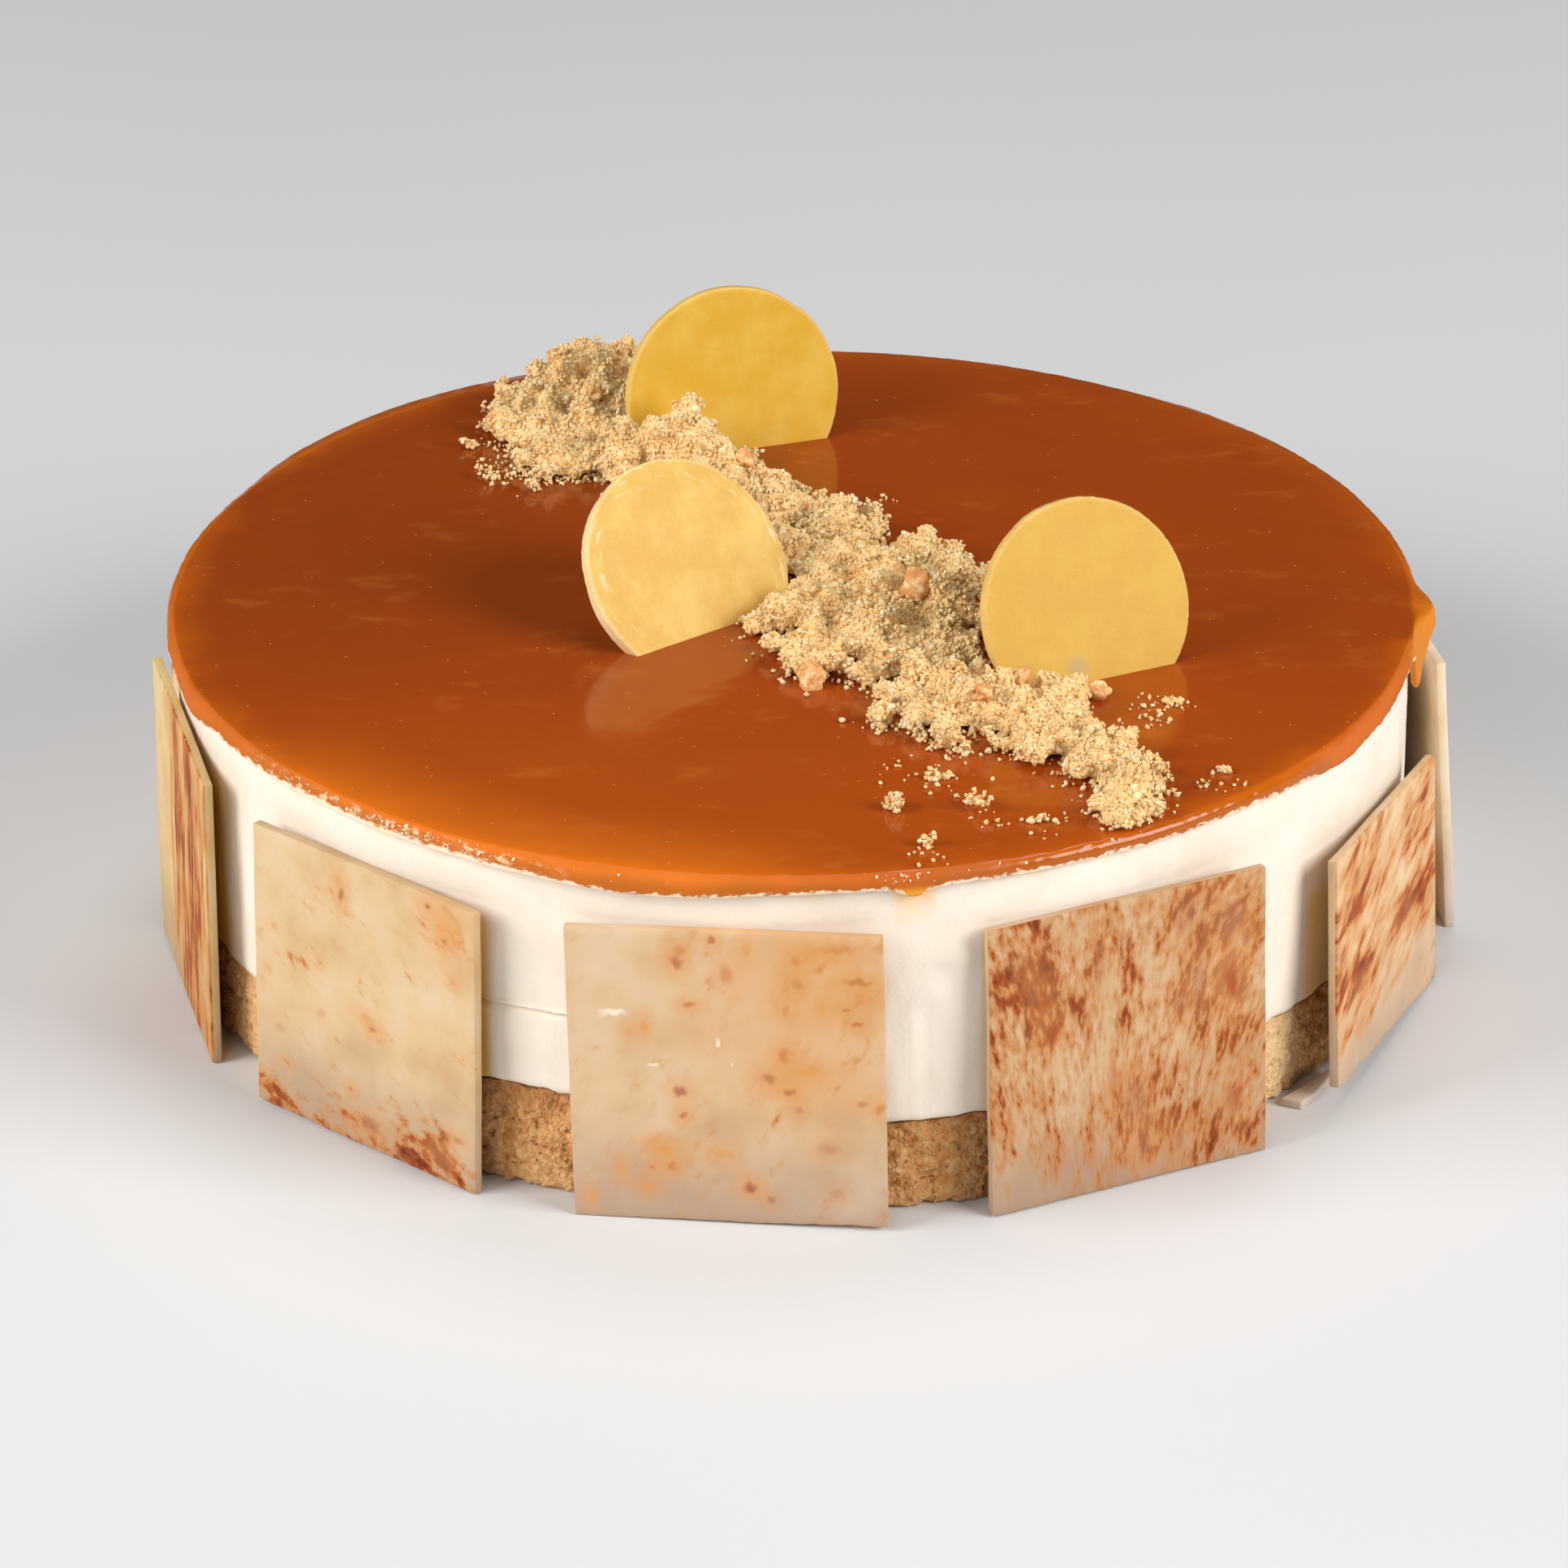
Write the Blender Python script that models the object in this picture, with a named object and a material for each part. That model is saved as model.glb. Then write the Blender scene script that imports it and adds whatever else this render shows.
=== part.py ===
"""Caramel cheesecake: a pressed biscuit base, a set cream filling and a caramel glaze, with white chocolate
squares standing round the side, yellow chocolate discs pushed into the top and a trail of biscuit crumble.

In metres, +Z up. The origin is the middle of the base's underside, where the cake stands.
The front of the cake looks along -Y. Azimuths are in degrees from the front and grow towards +X.
"""

import math
import random

import bmesh
import bpy
from mathutils import Matrix, Vector, noise

MM = 0.001

# Driving sizes
CAKE_HEIGHT = 59.5 * MM
CREAM_RADIUS = 101.2 * MM
GLAZE_RADIUS = 102.6 * MM
GLAZE_THICKNESS = 2.0 * MM
BASE_HEIGHT = 15.6 * MM
SQUARE_SIDE = 49.0 * MM
SQUARE_THICKNESS = 1.7 * MM
DISC_RADIUS = 19.2 * MM
DISC_THICKNESS = 2.2 * MM
GAP = 0.3 * MM

# Sizes that follow from them
BASE_RADIUS = CREAM_RADIUS - GAP
GLAZE_UNDERSIDE = CAKE_HEIGHT - GLAZE_THICKNESS
CREAM_TOP = GLAZE_UNDERSIDE - GAP
GLAZE_INNER_RADIUS = CREAM_RADIUS + GAP

# Base: size of its grain, how deep its side is pitted, and its foot and lip, which stand back
BASE_GRAIN = 2.6 * MM
BASE_PITS = 1.1 * MM
FLAT_FOOT_INSET = 4.0 * MM
FOOT_INSET = 1.1 * MM
FOOT_LIFT = 0.5 * MM
BASE_LIP_INSET = 0.7 * MM
BASE_RING_SHARES = (0.14, 0.34, 0.56, 0.78)

# Seam between base and cream: ragged at the side, halfway back to level at one inset and level at the other
SEAM_RAGGED = 0.45 * MM
SEAM_INSET = 6.0 * MM
SEAM_LEVEL_INSET = 16.0 * MM

# Cream: how deep the smears of the knife are, its foot and its rounded upper edge
SMEAR_DEPTH = 0.45 * MM
SMEAR_LENGTH = 14.0 * MM
CREAM_FOOT_INSET = 0.4 * MM
CREAM_EDGE = 1.0 * MM
CREAM_RING_SHARES = (0.1, 0.36, 0.68)

# Glaze: the part that lies on the cream, the lap's rounded lower edge and how little it hangs over at least
GLAZE_SEAT = 12.0 * MM
LAP_ROUND = 0.35 * MM
LAP_THICKNESS = 0.5 * MM
RIM_UNEVEN = 0.25 * MM
LEAST_HANG = 0.5 * MM
HANG_UNEVEN = 0.2 * MM

# Uneven stretches round the cake: azimuth, half width in degrees, and size
SEAM_RISES = (
    (-25.0, 11.0, 2.0 * MM),
    (-62.0, 9.0, -0.5 * MM),
    (12.0, 10.0, -0.6 * MM),
    (52.0, 9.0, -0.9 * MM),
    (119.0, 12.0, 1.0 * MM),
    (-130.0, 16.0, -0.8 * MM),
    (-170.0, 12.0, 1.3 * MM),
)
RIM_BULGES = (
    (-140.0, 24.0, 2.2 * MM),
    (-15.0, 12.0, 0.9 * MM),
    (33.0, 14.0, -0.2 * MM),
    (87.5, 3.4, 2.6 * MM),
    (122.0, 26.0, 0.7 * MM),
)
RIM_HANGS = (
    (-115.0, 7.0, 2.2 * MM),
    (-70.0, 5.0, 1.6 * MM),
    (-30.0, 12.0, 0.5 * MM),
    (-12.0, 10.0, 1.0 * MM),
    (10.0, 2.6, 3.2 * MM),
    (58.0, 7.0, 1.9 * MM),
    (68.0, 4.0, 1.2 * MM),
    (82.5, 2.4, 8.6 * MM),
    (90.0, 5.0, 2.4 * MM),
    (150.0, 8.0, 2.0 * MM),
    (-155.0, 9.0, 1.4 * MM),
)
DRIP_AZIMUTHS = (10.0, 86.0, -70.0)

# The standing squares: azimuth, turn about the upright, lean of the top towards the cake and turn in their
# own plane, in degrees, then width, height and stand-off from the cream
SQUARES = (
    (-74.4, -1.7, 0.6, 0.0, 48.5 * MM, 50.0 * MM, 0.0),
    (-40.7, 0.0, 1.1, -0.4, 47.3 * MM, 49.2 * MM, 0.0),
    (-5.6, -1.4, 1.0, 1.0, 48.9 * MM, 50.0 * MM, 0.0),
    (29.6, -3.9, 2.7, 0.0, 48.3 * MM, 48.9 * MM, 0.0),
    (64.2, 2.8, 3.6, -4.2, 49.1 * MM, 39.6 * MM, 0.8 * MM),
    (99.6, 1.5, 4.0, 0.0, 49.2 * MM, 49.2 * MM, 0.4 * MM),
    (136.0, -0.8, 1.8, 0.6, SQUARE_SIDE, 49.4 * MM, 0.0),
    (172.5, 1.2, 1.4, -0.8, 48.4 * MM, SQUARE_SIDE, 0.0),
    (209.0, -1.5, 2.2, 0.5, SQUARE_SIDE, 48.6 * MM, 0.0),
    (247.0, 0.9, 1.2, -0.5, 48.2 * MM, 49.3 * MM, 0.0),
)
TORN_SQUARE = 4
EDGE_STEPS = 4
EDGE_WAVER = 0.18 * MM
BROKEN_EDGE_STEPS = 12
BROKEN_EDGE_DEPTH = 1.1 * MM
BROKEN_CORNER = 1.4 * MM
SQUARE_SEED = 100

# The discs: middle of the front face from the cake's axis and above the glaze, turn and backward lean in
# degrees, and radius
DISCS = (
    (-9.9 * MM, 59.7 * MM, 9.2 * MM, 18.1, 11.7, DISC_RADIUS),
    (-16.8 * MM, -9.4 * MM, 8.5 * MM, 38.8, 36.2, DISC_RADIUS),
    (47.1 * MM, -29.7 * MM, 10.4 * MM, 25.1, 22.0, DISC_RADIUS - 0.8 * MM),
)
DISC_SIDES = 40
SLOT_SIDES = 32
DISC_UNEVEN = 0.12 * MM

# The crumble's mounds in mm, from the back left to the front right: middle, radius and height
MOUNDS = (
    (-35, 86, 9, 7.5), (-45, 77, 8, 4.0), (-33, 74, 9, 7.0), (-43, 64, 9, 5.0), (-33, 61, 8, 6.0),
    (-38, 52, 8, 4.0), (-27, 49, 8, 7.0), (-18, 47, 8, 12.0), (-11, 42, 7, 7.0), (-22, 38, 8, 5.5),
    (-6, 35, 7, 5.0), (0, 27, 7, 5.5), (8, 18, 7, 7.0), (0, 14, 7, 5.0), (20, 9, 7, 5.5),
    (8, 5, 9, 6.5), (26, 2, 6, 5.5), (16, -4, 9, 6.5), (5, -9, 8, 5.0), (-2, -12, 5, 4.0),
    (24, -12, 8, 6.5), (13, -18, 9, 6.0), (24, -25, 7, 5.5), (3, -23, 6, 4.5), (3, -31, 4, 4.0),
    (15, -30, 6, 4.0), (24, -38, 7, 4.5), (18, -42, 5, 3.0), (33, -46, 8, 6.0), (41, -48, 7, 5.5),
    (25, -48, 6, 4.0), (40, -57, 7, 4.5), (48, -65, 7, 5.0), (52, -74, 6, 4.5), (52, -81, 5.5, 3.5),
)
MOUND_UNEVEN = 0.04

# The crumbs that show on the mounds, and how far apart and how far from the rim they lie
LARGEST_CRUMB = 3.4 * MM
SMALLEST_CRUMB = 1.7 * MM
CRUMB_COUNT = 118
CRUMB_UNEVEN = 0.16
CRUMB_STRETCH = (0.8, 1.15)
CRUMB_SPACING = 0.95
CRUMB_RIM_MARGIN = 3.0 * MM
SUNK_SHARE = 0.72
CRUMB_SEED = 7

# Clumps that lie loose on the glaze, in mm: middle and radius
LOOSE_CLUMPS = (
    (16.5, -80, 2.5), (28.5, -79, 2.0), (23, -69, 1.9), (26, -60, 2.2), (19.5, -54, 1.7), (20, -92, 1.3),
    (36.5, -84, 1.3), (59.5, -42, 1.6), (67, -67, 1.4), (-55, 60, 1.4), (-51, 46, 1.6), (-44, 41, 1.4),
)
CLUMP_RISE = 0.35
CLUMP_STRETCH = (1.0, 0.85, 0.8)

# The chip of chocolate at the foot of the base, in mm: its outline seen from above
CHIP_CORNERS = ((77.2, -67.2), (80.4, -68.6), (83.0, -65.0), (86.4, -58.2), (85.9, -57.0), (82.0, -62.0))
CHIP_THICKNESS = 1.4 * MM

SMOOTH_ANGLE = 40.0


def wave(azimuth, stretches):
    """Sum of the soft rises at an azimuth."""
    total = 0.0
    for centre, half_width, size in stretches:
        apart = (azimuth - centre + 180.0) % 360.0 - 180.0
        total += size * math.exp(-((apart / half_width) ** 2))
    return total


def place(azimuth, radius, height):
    """Point at an azimuth, radius and height."""
    angle = math.radians(azimuth)
    return Vector((radius * math.sin(angle), -radius * math.cos(angle), height))


def ripple(azimuth, swells, level):
    """Uneven value from -1 to 1, its own at each level, with as many swells per radian round the cake."""
    return noise.noise(place(azimuth, swells, level))


def columns(centres, half_width, wide_step, fine_step):
    """Azimuths once round the cake, closer together near the given centres."""
    found = []
    azimuth = 0.0
    while azimuth < 360.0 - 0.5 * fine_step:
        found.append(azimuth)
        apart = min(abs((azimuth - centre + 180.0) % 360.0 - 180.0) for centre in centres)
        azimuth += fine_step if apart < half_width else wide_step
    return found


def material(name, colour, roughness):
    """Plain food material, never metallic."""
    made = bpy.data.materials.new(name)
    made.use_nodes = True
    shader = made.node_tree.nodes["Principled BSDF"]
    shader.inputs["Base Color"].default_value = (*colour, 1.0)
    shader.inputs["Roughness"].default_value = roughness
    shader.inputs["Metallic"].default_value = 0.0
    return made


def biscuit_material():
    return material("biscuit", (0.50, 0.29, 0.11), 0.85)


def cream_material():
    return material("cream", (0.90, 0.85, 0.76), 0.55)


def caramel_material():
    return material("caramel", (0.42, 0.10, 0.015), 0.15)


def white_chocolate_material():
    return material("white_chocolate", (0.80, 0.62, 0.40), 0.40)


def yellow_chocolate_material():
    return material("yellow_chocolate", (0.80, 0.48, 0.09), 0.50)


def crumble_material():
    return material("crumble", (0.72, 0.47, 0.20), 0.90)


def add_object(name, mesh, surface=None, smooth=False):
    """Object of its own for a mesh, with its material, in the scene."""
    mesh.name = name
    made = bpy.data.objects.new(name, mesh)
    bpy.context.scene.collection.objects.link(made)
    if surface is not None:
        mesh.materials.append(surface)
    if smooth:
        mesh.shade_smooth()
        mesh.set_sharp_from_angle(angle=math.radians(SMOOTH_ANGLE))
    return made


def mesh_from(shape):
    """Mesh of a bmesh, with its faces pointing outwards."""
    bmesh.ops.recalc_face_normals(shape, faces=shape.faces)
    mesh = bpy.data.meshes.new("shape")
    shape.to_mesh(mesh)
    shape.free()
    return mesh


def round_layer(name, azimuths, rings, surface):
    """Round body from a profile that runs from the middle of its underside to the middle of its top. Each
    ring of the profile is a function that gives the radius and the height at an azimuth."""
    shape = bmesh.new()
    loops = []
    for ring in rings:
        loops.append([shape.verts.new(place(azimuth, *ring(azimuth))) for azimuth in azimuths])
    for lower, upper in zip(loops, loops[1:]):
        for side in range(len(azimuths)):
            after = (side + 1) % len(azimuths)
            shape.faces.new((lower[side], lower[after], upper[after], upper[side]))
    shape.faces.new(list(reversed(loops[0])))
    shape.faces.new(loops[-1])
    return add_object(name, mesh_from(shape), surface, smooth=True)


def seam_height(azimuth):
    """Height of the ragged line where the cream starts, at the side of the cake."""
    return BASE_HEIGHT + wave(azimuth, SEAM_RISES) + SEAM_RAGGED * ripple(azimuth, swells=40.0, level=3.0)


def seam_inside(azimuth):
    """Height of the seam a little way in, halfway back to level."""
    return 0.5 * (seam_height(azimuth) + BASE_HEIGHT)


def biscuit_base(azimuths):
    """Pressed biscuit crumb with a rough side and a ragged lower edge."""

    def rough(azimuth, share):
        height = share * seam_height(azimuth)
        spot = place(azimuth, BASE_RADIUS, height) / BASE_GRAIN
        pit = 0.5 + 0.5 * noise.noise(spot)
        shift = 0.5 * noise.noise(-spot)
        return BASE_RADIUS - BASE_PITS * pit, height + BASE_PITS * shift

    def foot(azimuth):
        lift = FOOT_LIFT * (1.0 + ripple(azimuth, swells=30.0, level=9.0))
        return BASE_RADIUS - FOOT_INSET, lift

    rings = [lambda azimuth: (BASE_RADIUS - FLAT_FOOT_INSET, 0.0), foot]
    for share in BASE_RING_SHARES:
        rings.append(lambda azimuth, share=share: rough(azimuth, share))
    rings.append(lambda azimuth: (BASE_RADIUS - BASE_LIP_INSET, seam_height(azimuth)))
    rings.append(lambda azimuth: (BASE_RADIUS - SEAM_INSET, seam_inside(azimuth)))
    rings.append(lambda azimuth: (BASE_RADIUS - SEAM_LEVEL_INSET, BASE_HEIGHT))
    round_layer("biscuit_base", azimuths, rings, biscuit_material())


def cream_filling(azimuths):
    """Set cream whose side was smoothed by hand, a little hollow here and there."""

    def side(azimuth, share):
        bottom = seam_height(azimuth)
        height = bottom + share * (CREAM_TOP - CREAM_EDGE - bottom)
        hollow = 0.5 + 0.5 * ripple(azimuth, swells=6.0, level=height / SMEAR_LENGTH)
        return CREAM_RADIUS - SMEAR_DEPTH * hollow, height

    rings = [
        lambda azimuth: (CREAM_RADIUS - SEAM_LEVEL_INSET, BASE_HEIGHT + GAP),
        lambda azimuth: (CREAM_RADIUS - SEAM_INSET, seam_inside(azimuth) + GAP),
        lambda azimuth: (CREAM_RADIUS - CREAM_FOOT_INSET, seam_height(azimuth) + GAP),
    ]
    for share in CREAM_RING_SHARES:
        rings.append(lambda azimuth, share=share: side(azimuth, share))
    rings.append(lambda azimuth: (CREAM_RADIUS - 0.1 * CREAM_EDGE, CREAM_TOP - CREAM_EDGE))
    rings.append(lambda azimuth: (CREAM_RADIUS - 1.3 * CREAM_EDGE, CREAM_TOP))
    return round_layer("cream_filling", azimuths, rings, cream_material())


def rim_radius(azimuth):
    """Radius of the caramel's rounded rim."""
    return GLAZE_RADIUS + wave(azimuth, RIM_BULGES) + RIM_UNEVEN * ripple(azimuth, swells=8.0, level=1.0)


def rim_bottom(azimuth):
    """Height of the caramel's lower edge, which hangs over the cream in drips."""
    uneven = HANG_UNEVEN * (1.0 + ripple(azimuth, swells=25.0, level=5.0))
    return GLAZE_UNDERSIDE - LEAST_HANG - wave(azimuth, RIM_HANGS) - uneven


def caramel_glaze():
    """Poured caramel: a level sheet with a rounded rim that laps over the cream's edge."""

    def lap_middle(azimuth):
        middle = 0.5 * (GLAZE_INNER_RADIUS + rim_radius(azimuth))
        return middle + 0.8 * LAP_THICKNESS, rim_bottom(azimuth) + LAP_ROUND

    rings = (
        lambda azimuth: (GLAZE_INNER_RADIUS - GLAZE_SEAT, GLAZE_UNDERSIDE),
        lambda azimuth: (GLAZE_INNER_RADIUS, GLAZE_UNDERSIDE),
        lambda azimuth: (GLAZE_INNER_RADIUS, rim_bottom(azimuth) + LAP_ROUND),
        lambda azimuth: (GLAZE_INNER_RADIUS + LAP_THICKNESS, rim_bottom(azimuth)),
        lap_middle,
        lambda azimuth: (rim_radius(azimuth), CAKE_HEIGHT - 0.75 * GLAZE_THICKNESS),
        lambda azimuth: (rim_radius(azimuth) - 0.2 * GLAZE_THICKNESS, CAKE_HEIGHT - 0.25 * GLAZE_THICKNESS),
        lambda azimuth: (rim_radius(azimuth) - 0.8 * GLAZE_THICKNESS, CAKE_HEIGHT),
    )
    azimuths = columns(DRIP_AZIMUTHS, half_width=8.0, wide_step=4.0, fine_step=1.4)
    return round_layer("caramel_glaze", azimuths, rings, caramel_material())


def thicken(shape, face, shift):
    """Closed piece from one face, extruded by a shift."""
    grown = bmesh.ops.extrude_face_region(shape, geom=[face], use_keep_orig=True)
    moved = [part for part in grown["geom"] if isinstance(part, bmesh.types.BMVert)]
    bmesh.ops.translate(shape, verts=moved, vec=shift)
    return mesh_from(shape)


def slab(outline, thickness):
    """Flat upright piece: its front face, at y = 0, has the outline, and it is extruded towards +Y."""
    shape = bmesh.new()
    front = shape.faces.new([shape.verts.new((x, 0.0, z)) for x, z in outline])
    return thicken(shape, front, (0.0, thickness, 0.0))


def square_outline(width, height, rng, torn):
    """Hand-cut square standing on z = 0, with slightly uneven edges, or with its lower edge broken off."""
    half = 0.5 * width
    broken_end = half - BROKEN_CORNER if torn else half
    corners = ((-half, 0.0), (broken_end, 0.0), (half, height), (-half, height))
    points = []
    for corner, start in enumerate(corners):
        end = corners[(corner + 1) % len(corners)]
        broken = torn and corner == 0
        steps = BROKEN_EDGE_STEPS if broken else EDGE_STEPS
        points.append(start)
        for step in range(1, steps):
            share = step / steps
            shift = rng.uniform(0.0, BROKEN_EDGE_DEPTH) if broken else rng.uniform(-EDGE_WAVER, EDGE_WAVER)
            x = start[0] + share * (end[0] - start[0])
            z = start[1] + share * (end[1] - start[1])
            level_edge = corner % 2 == 0
            points.append((x, z + shift) if level_edge else (x - shift, z))
    return points


def chocolate_square(index, surface):
    """One square, its foot on the ground and its top leaning against the cream."""
    azimuth, turn, lean, roll, width, height, stand_off = SQUARES[index]
    rng = random.Random(SQUARE_SEED + index)
    mesh = slab(square_outline(width, height, rng, index == TORN_SQUARE), SQUARE_THICKNESS)
    foot_out = height * math.sin(math.radians(lean))
    radius = CREAM_RADIUS + GAP + stand_off + SQUARE_THICKNESS + foot_out
    radius /= math.cos(math.radians(turn))
    spot = Matrix.Translation(place(azimuth, radius, 0.0))
    upright = Matrix.Rotation(math.radians(azimuth + turn), 4, "Z")
    leaning = Matrix.Rotation(math.radians(-lean), 4, "X")
    rolled = Matrix.Rotation(math.radians(-roll), 4, "Y")
    mesh.transform(spot @ upright @ leaning @ rolled)
    lowest = min(vertex.co.z for vertex in mesh.vertices)
    mesh.transform(Matrix.Translation((0.0, 0.0, -lowest)))
    add_object(f"chocolate_square_{index + 1:02d}", mesh, surface)


def disc_frame(disc):
    """Place of a disc: its origin is the middle of its front face, which looks along its own -Y."""
    x, y, above, turn, lean, radius = disc
    upright = Matrix.Rotation(math.radians(turn), 4, "Z")
    leaning = Matrix.Rotation(math.radians(-lean), 4, "X")
    return Matrix.Translation((x, y, CAKE_HEIGHT + above)) @ upright @ leaning


def round_slab(reaches, thickness):
    """Flat upright round piece, with its radius at each of its corners."""
    outline = []
    for side, reach in enumerate(reaches):
        angle = 2.0 * math.pi * side / len(reaches)
        outline.append((reach * math.cos(angle), reach * math.sin(angle)))
    return slab(outline, thickness)


def chocolate_disc(index, surface):
    """One disc, cast by hand and so not quite round."""
    disc = DISCS[index]
    reaches = []
    for side in range(DISC_SIDES):
        angle = 2.0 * math.pi * side / DISC_SIDES
        uneven = math.sin(3.0 * angle + index) * math.cos(5.0 * angle)
        reaches.append(disc[-1] - DISC_UNEVEN * (1.0 + uneven))
    mesh = round_slab(reaches, DISC_THICKNESS)
    mesh.transform(disc_frame(disc))
    add_object(f"chocolate_disc_{index + 1:02d}", mesh, surface, smooth=True)


def combine(target, operation, operand=None, collection=None):
    """Applied Boolean of the target with one object or with all of a collection."""
    cut = target.modifiers.new("combine", "BOOLEAN")
    cut.operation = operation
    if collection is None:
        cut.object = operand
    else:
        cut.operand_type = "COLLECTION"
        cut.collection = collection
    bpy.context.view_layer.update()
    evaluated = target.evaluated_get(bpy.context.evaluated_depsgraph_get())
    result = bpy.data.meshes.new_from_object(evaluated)
    target.modifiers.remove(cut)
    former = target.data
    name = former.name
    target.data = result
    bpy.data.meshes.remove(former)
    result.name = name


def discard(made):
    mesh = made.data
    bpy.data.objects.remove(made, do_unlink=True)
    bpy.data.meshes.remove(mesh)


def fuse(target, pieces):
    """One union of the target with loose closed pieces."""
    heap = bpy.data.collections.new("pieces")
    bpy.context.scene.collection.children.link(heap)
    for piece in pieces:
        bpy.context.scene.collection.objects.unlink(piece)
        heap.objects.link(piece)
    combine(target, "UNION", collection=heap)
    for piece in pieces:
        discard(piece)
    bpy.data.collections.remove(heap)


def cut_slots(target):
    """Room for each disc, with the gap all round it."""
    for disc in DISCS:
        reaches = [disc[-1] + GAP] * SLOT_SIDES
        mesh = round_slab(reaches, DISC_THICKNESS + 2.0 * GAP)
        mesh.transform(disc_frame(disc) @ Matrix.Translation((0.0, -GAP, 0.0)))
        cutter = add_object("slot", mesh)
        combine(target, "DIFFERENCE", operand=cutter)
        discard(cutter)


def drop_scraps(target):
    """Keep only the largest of a mesh's bodies, as the slots can cut a crumb's tip off."""
    shape = bmesh.new()
    shape.from_mesh(target.data)
    unseen = set(shape.verts)
    bodies = []
    while unseen:
        front = [unseen.pop()]
        body = set(front)
        while front:
            corner = front.pop()
            for edge in corner.link_edges:
                other = edge.other_vert(corner)
                if other in unseen:
                    unseen.remove(other)
                    body.add(other)
                    front.append(other)
        bodies.append(body)
    bodies.sort(key=len)
    for body in bodies[:-1]:
        bmesh.ops.delete(shape, geom=list(body), context="VERTS")
    shape.to_mesh(target.data)
    shape.free()


def lump(centre, sizes, uneven, rng):
    """Ball with few sides, stretched to its three sizes, with every corner a little off its place."""
    shape = bmesh.new()
    bmesh.ops.create_icosphere(shape, subdivisions=1, radius=1.0)
    turned = Matrix.Rotation(rng.uniform(0.0, 2.0 * math.pi), 3, "Z")
    for corner in shape.verts:
        reach = 1.0 + rng.uniform(-uneven, uneven)
        spot = turned @ (corner.co * reach)
        corner.co = Vector((spot.x * sizes[0], spot.y * sizes[1], spot.z * sizes[2])) + centre
    return add_object("lump", mesh_from(shape))


def near_disc(point, clearance):
    """Whether a ball of this radius reaches a disc."""
    for disc in DISCS:
        local = disc_frame(disc).inverted() @ point
        across = math.hypot(local.x, local.z) - disc[-1]
        depth = abs(local.y - 0.5 * DISC_THICKNESS) - 0.5 * DISC_THICKNESS
        if across < clearance and depth < clearance:
            return True
    return False


def sunk(point, mounds, own):
    """Whether a point on one mound lies well inside another."""
    for mound in mounds:
        if mound is own:
            continue
        x, y, radius, height = mound
        inside = ((point.x - x) / radius) ** 2 + ((point.y - y) / radius) ** 2
        inside += ((point.z - CAKE_HEIGHT) / height) ** 2
        if inside < SUNK_SHARE:
            return True
    return False


def crumb_spots(mounds, rng):
    """Middles and sizes of the crumbs that show on the mounds, the largest first, none on a disc."""
    spots = []
    while len(spots) < CRUMB_COUNT:
        size = LARGEST_CRUMB + (SMALLEST_CRUMB - LARGEST_CRUMB) * len(spots) / CRUMB_COUNT
        mound = rng.choice(mounds)
        x, y, radius, height = mound
        angle = rng.uniform(0.0, 2.0 * math.pi)
        rise = rng.uniform(0.0, 1.0)
        out = radius * math.sqrt(1.0 - rise * rise)
        point = Vector((x + out * math.cos(angle), y + out * math.sin(angle), CAKE_HEIGHT + height * rise))
        past_rim = math.hypot(point.x, point.y) > GLAZE_RADIUS - CRUMB_RIM_MARGIN
        if past_rim or sunk(point, mounds, mound) or near_disc(point, size + GAP):
            continue
        if all((point - other).length > CRUMB_SPACING * (size + reach) for other, reach in spots):
            spots.append((point, size))
    return spots


def cut_below(target, height):
    """Flat underside at a height."""
    shape = bmesh.new()
    bmesh.ops.create_cube(shape, size=1.0)
    bmesh.ops.scale(shape, verts=shape.verts, vec=(4.0 * CREAM_RADIUS, 4.0 * CREAM_RADIUS, CAKE_HEIGHT))
    bmesh.ops.translate(shape, verts=shape.verts, vec=(0.0, 0.0, height - 0.5 * CAKE_HEIGHT))
    cutter = add_object("below", mesh_from(shape))
    combine(target, "DIFFERENCE", operand=cutter)
    discard(cutter)


def biscuit_crumble():
    """Trail of crumble: a low core of mounds with clumps and crumbs fused on, resting on the glaze."""
    rng = random.Random(CRUMB_SEED)
    mounds = [tuple(MM * value for value in mound) for mound in MOUNDS]
    underside = CAKE_HEIGHT + GAP
    hills = []
    for x, y, radius, height in mounds:
        hills.append(lump(Vector((x, y, underside)), (radius, radius, height), MOUND_UNEVEN, rng))
    crumble = hills[0]
    fuse(crumble, hills[1:])
    pieces = []
    for point, size in crumb_spots(mounds, rng):
        sizes = [size * rng.uniform(*CRUMB_STRETCH) for _ in range(3)]
        pieces.append(lump(point, sizes, CRUMB_UNEVEN, rng))
    fuse(crumble, pieces)
    cut_slots(crumble)
    cut_below(crumble, underside)
    drop_scraps(crumble)
    crumble.name = "biscuit_crumble"
    crumble.data.name = "biscuit_crumble"
    crumble.data.materials.clear()
    crumble.data.materials.append(crumble_material())


def loose_clumps(glaze):
    """Clumps that fell beside the trail, fused to the glaze they lie on."""
    rng = random.Random(CRUMB_SEED)
    pieces = []
    for x, y, size in LOOSE_CLUMPS:
        radius = size * MM
        centre = Vector((x * MM, y * MM, CAKE_HEIGHT + CLUMP_RISE * radius))
        sizes = [radius * stretch for stretch in CLUMP_STRETCH]
        pieces.append(lump(centre, sizes, CRUMB_UNEVEN, rng))
    fuse(glaze, pieces)


def chocolate_chip(surface):
    """Broken sliver of a square, lying at the foot of the base."""
    shape = bmesh.new()
    bottom = shape.faces.new([shape.verts.new((x * MM, y * MM, 0.0)) for x, y in CHIP_CORNERS])
    add_object("chocolate_chip", thicken(shape, bottom, (0.0, 0.0, CHIP_THICKNESS)), surface)


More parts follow.
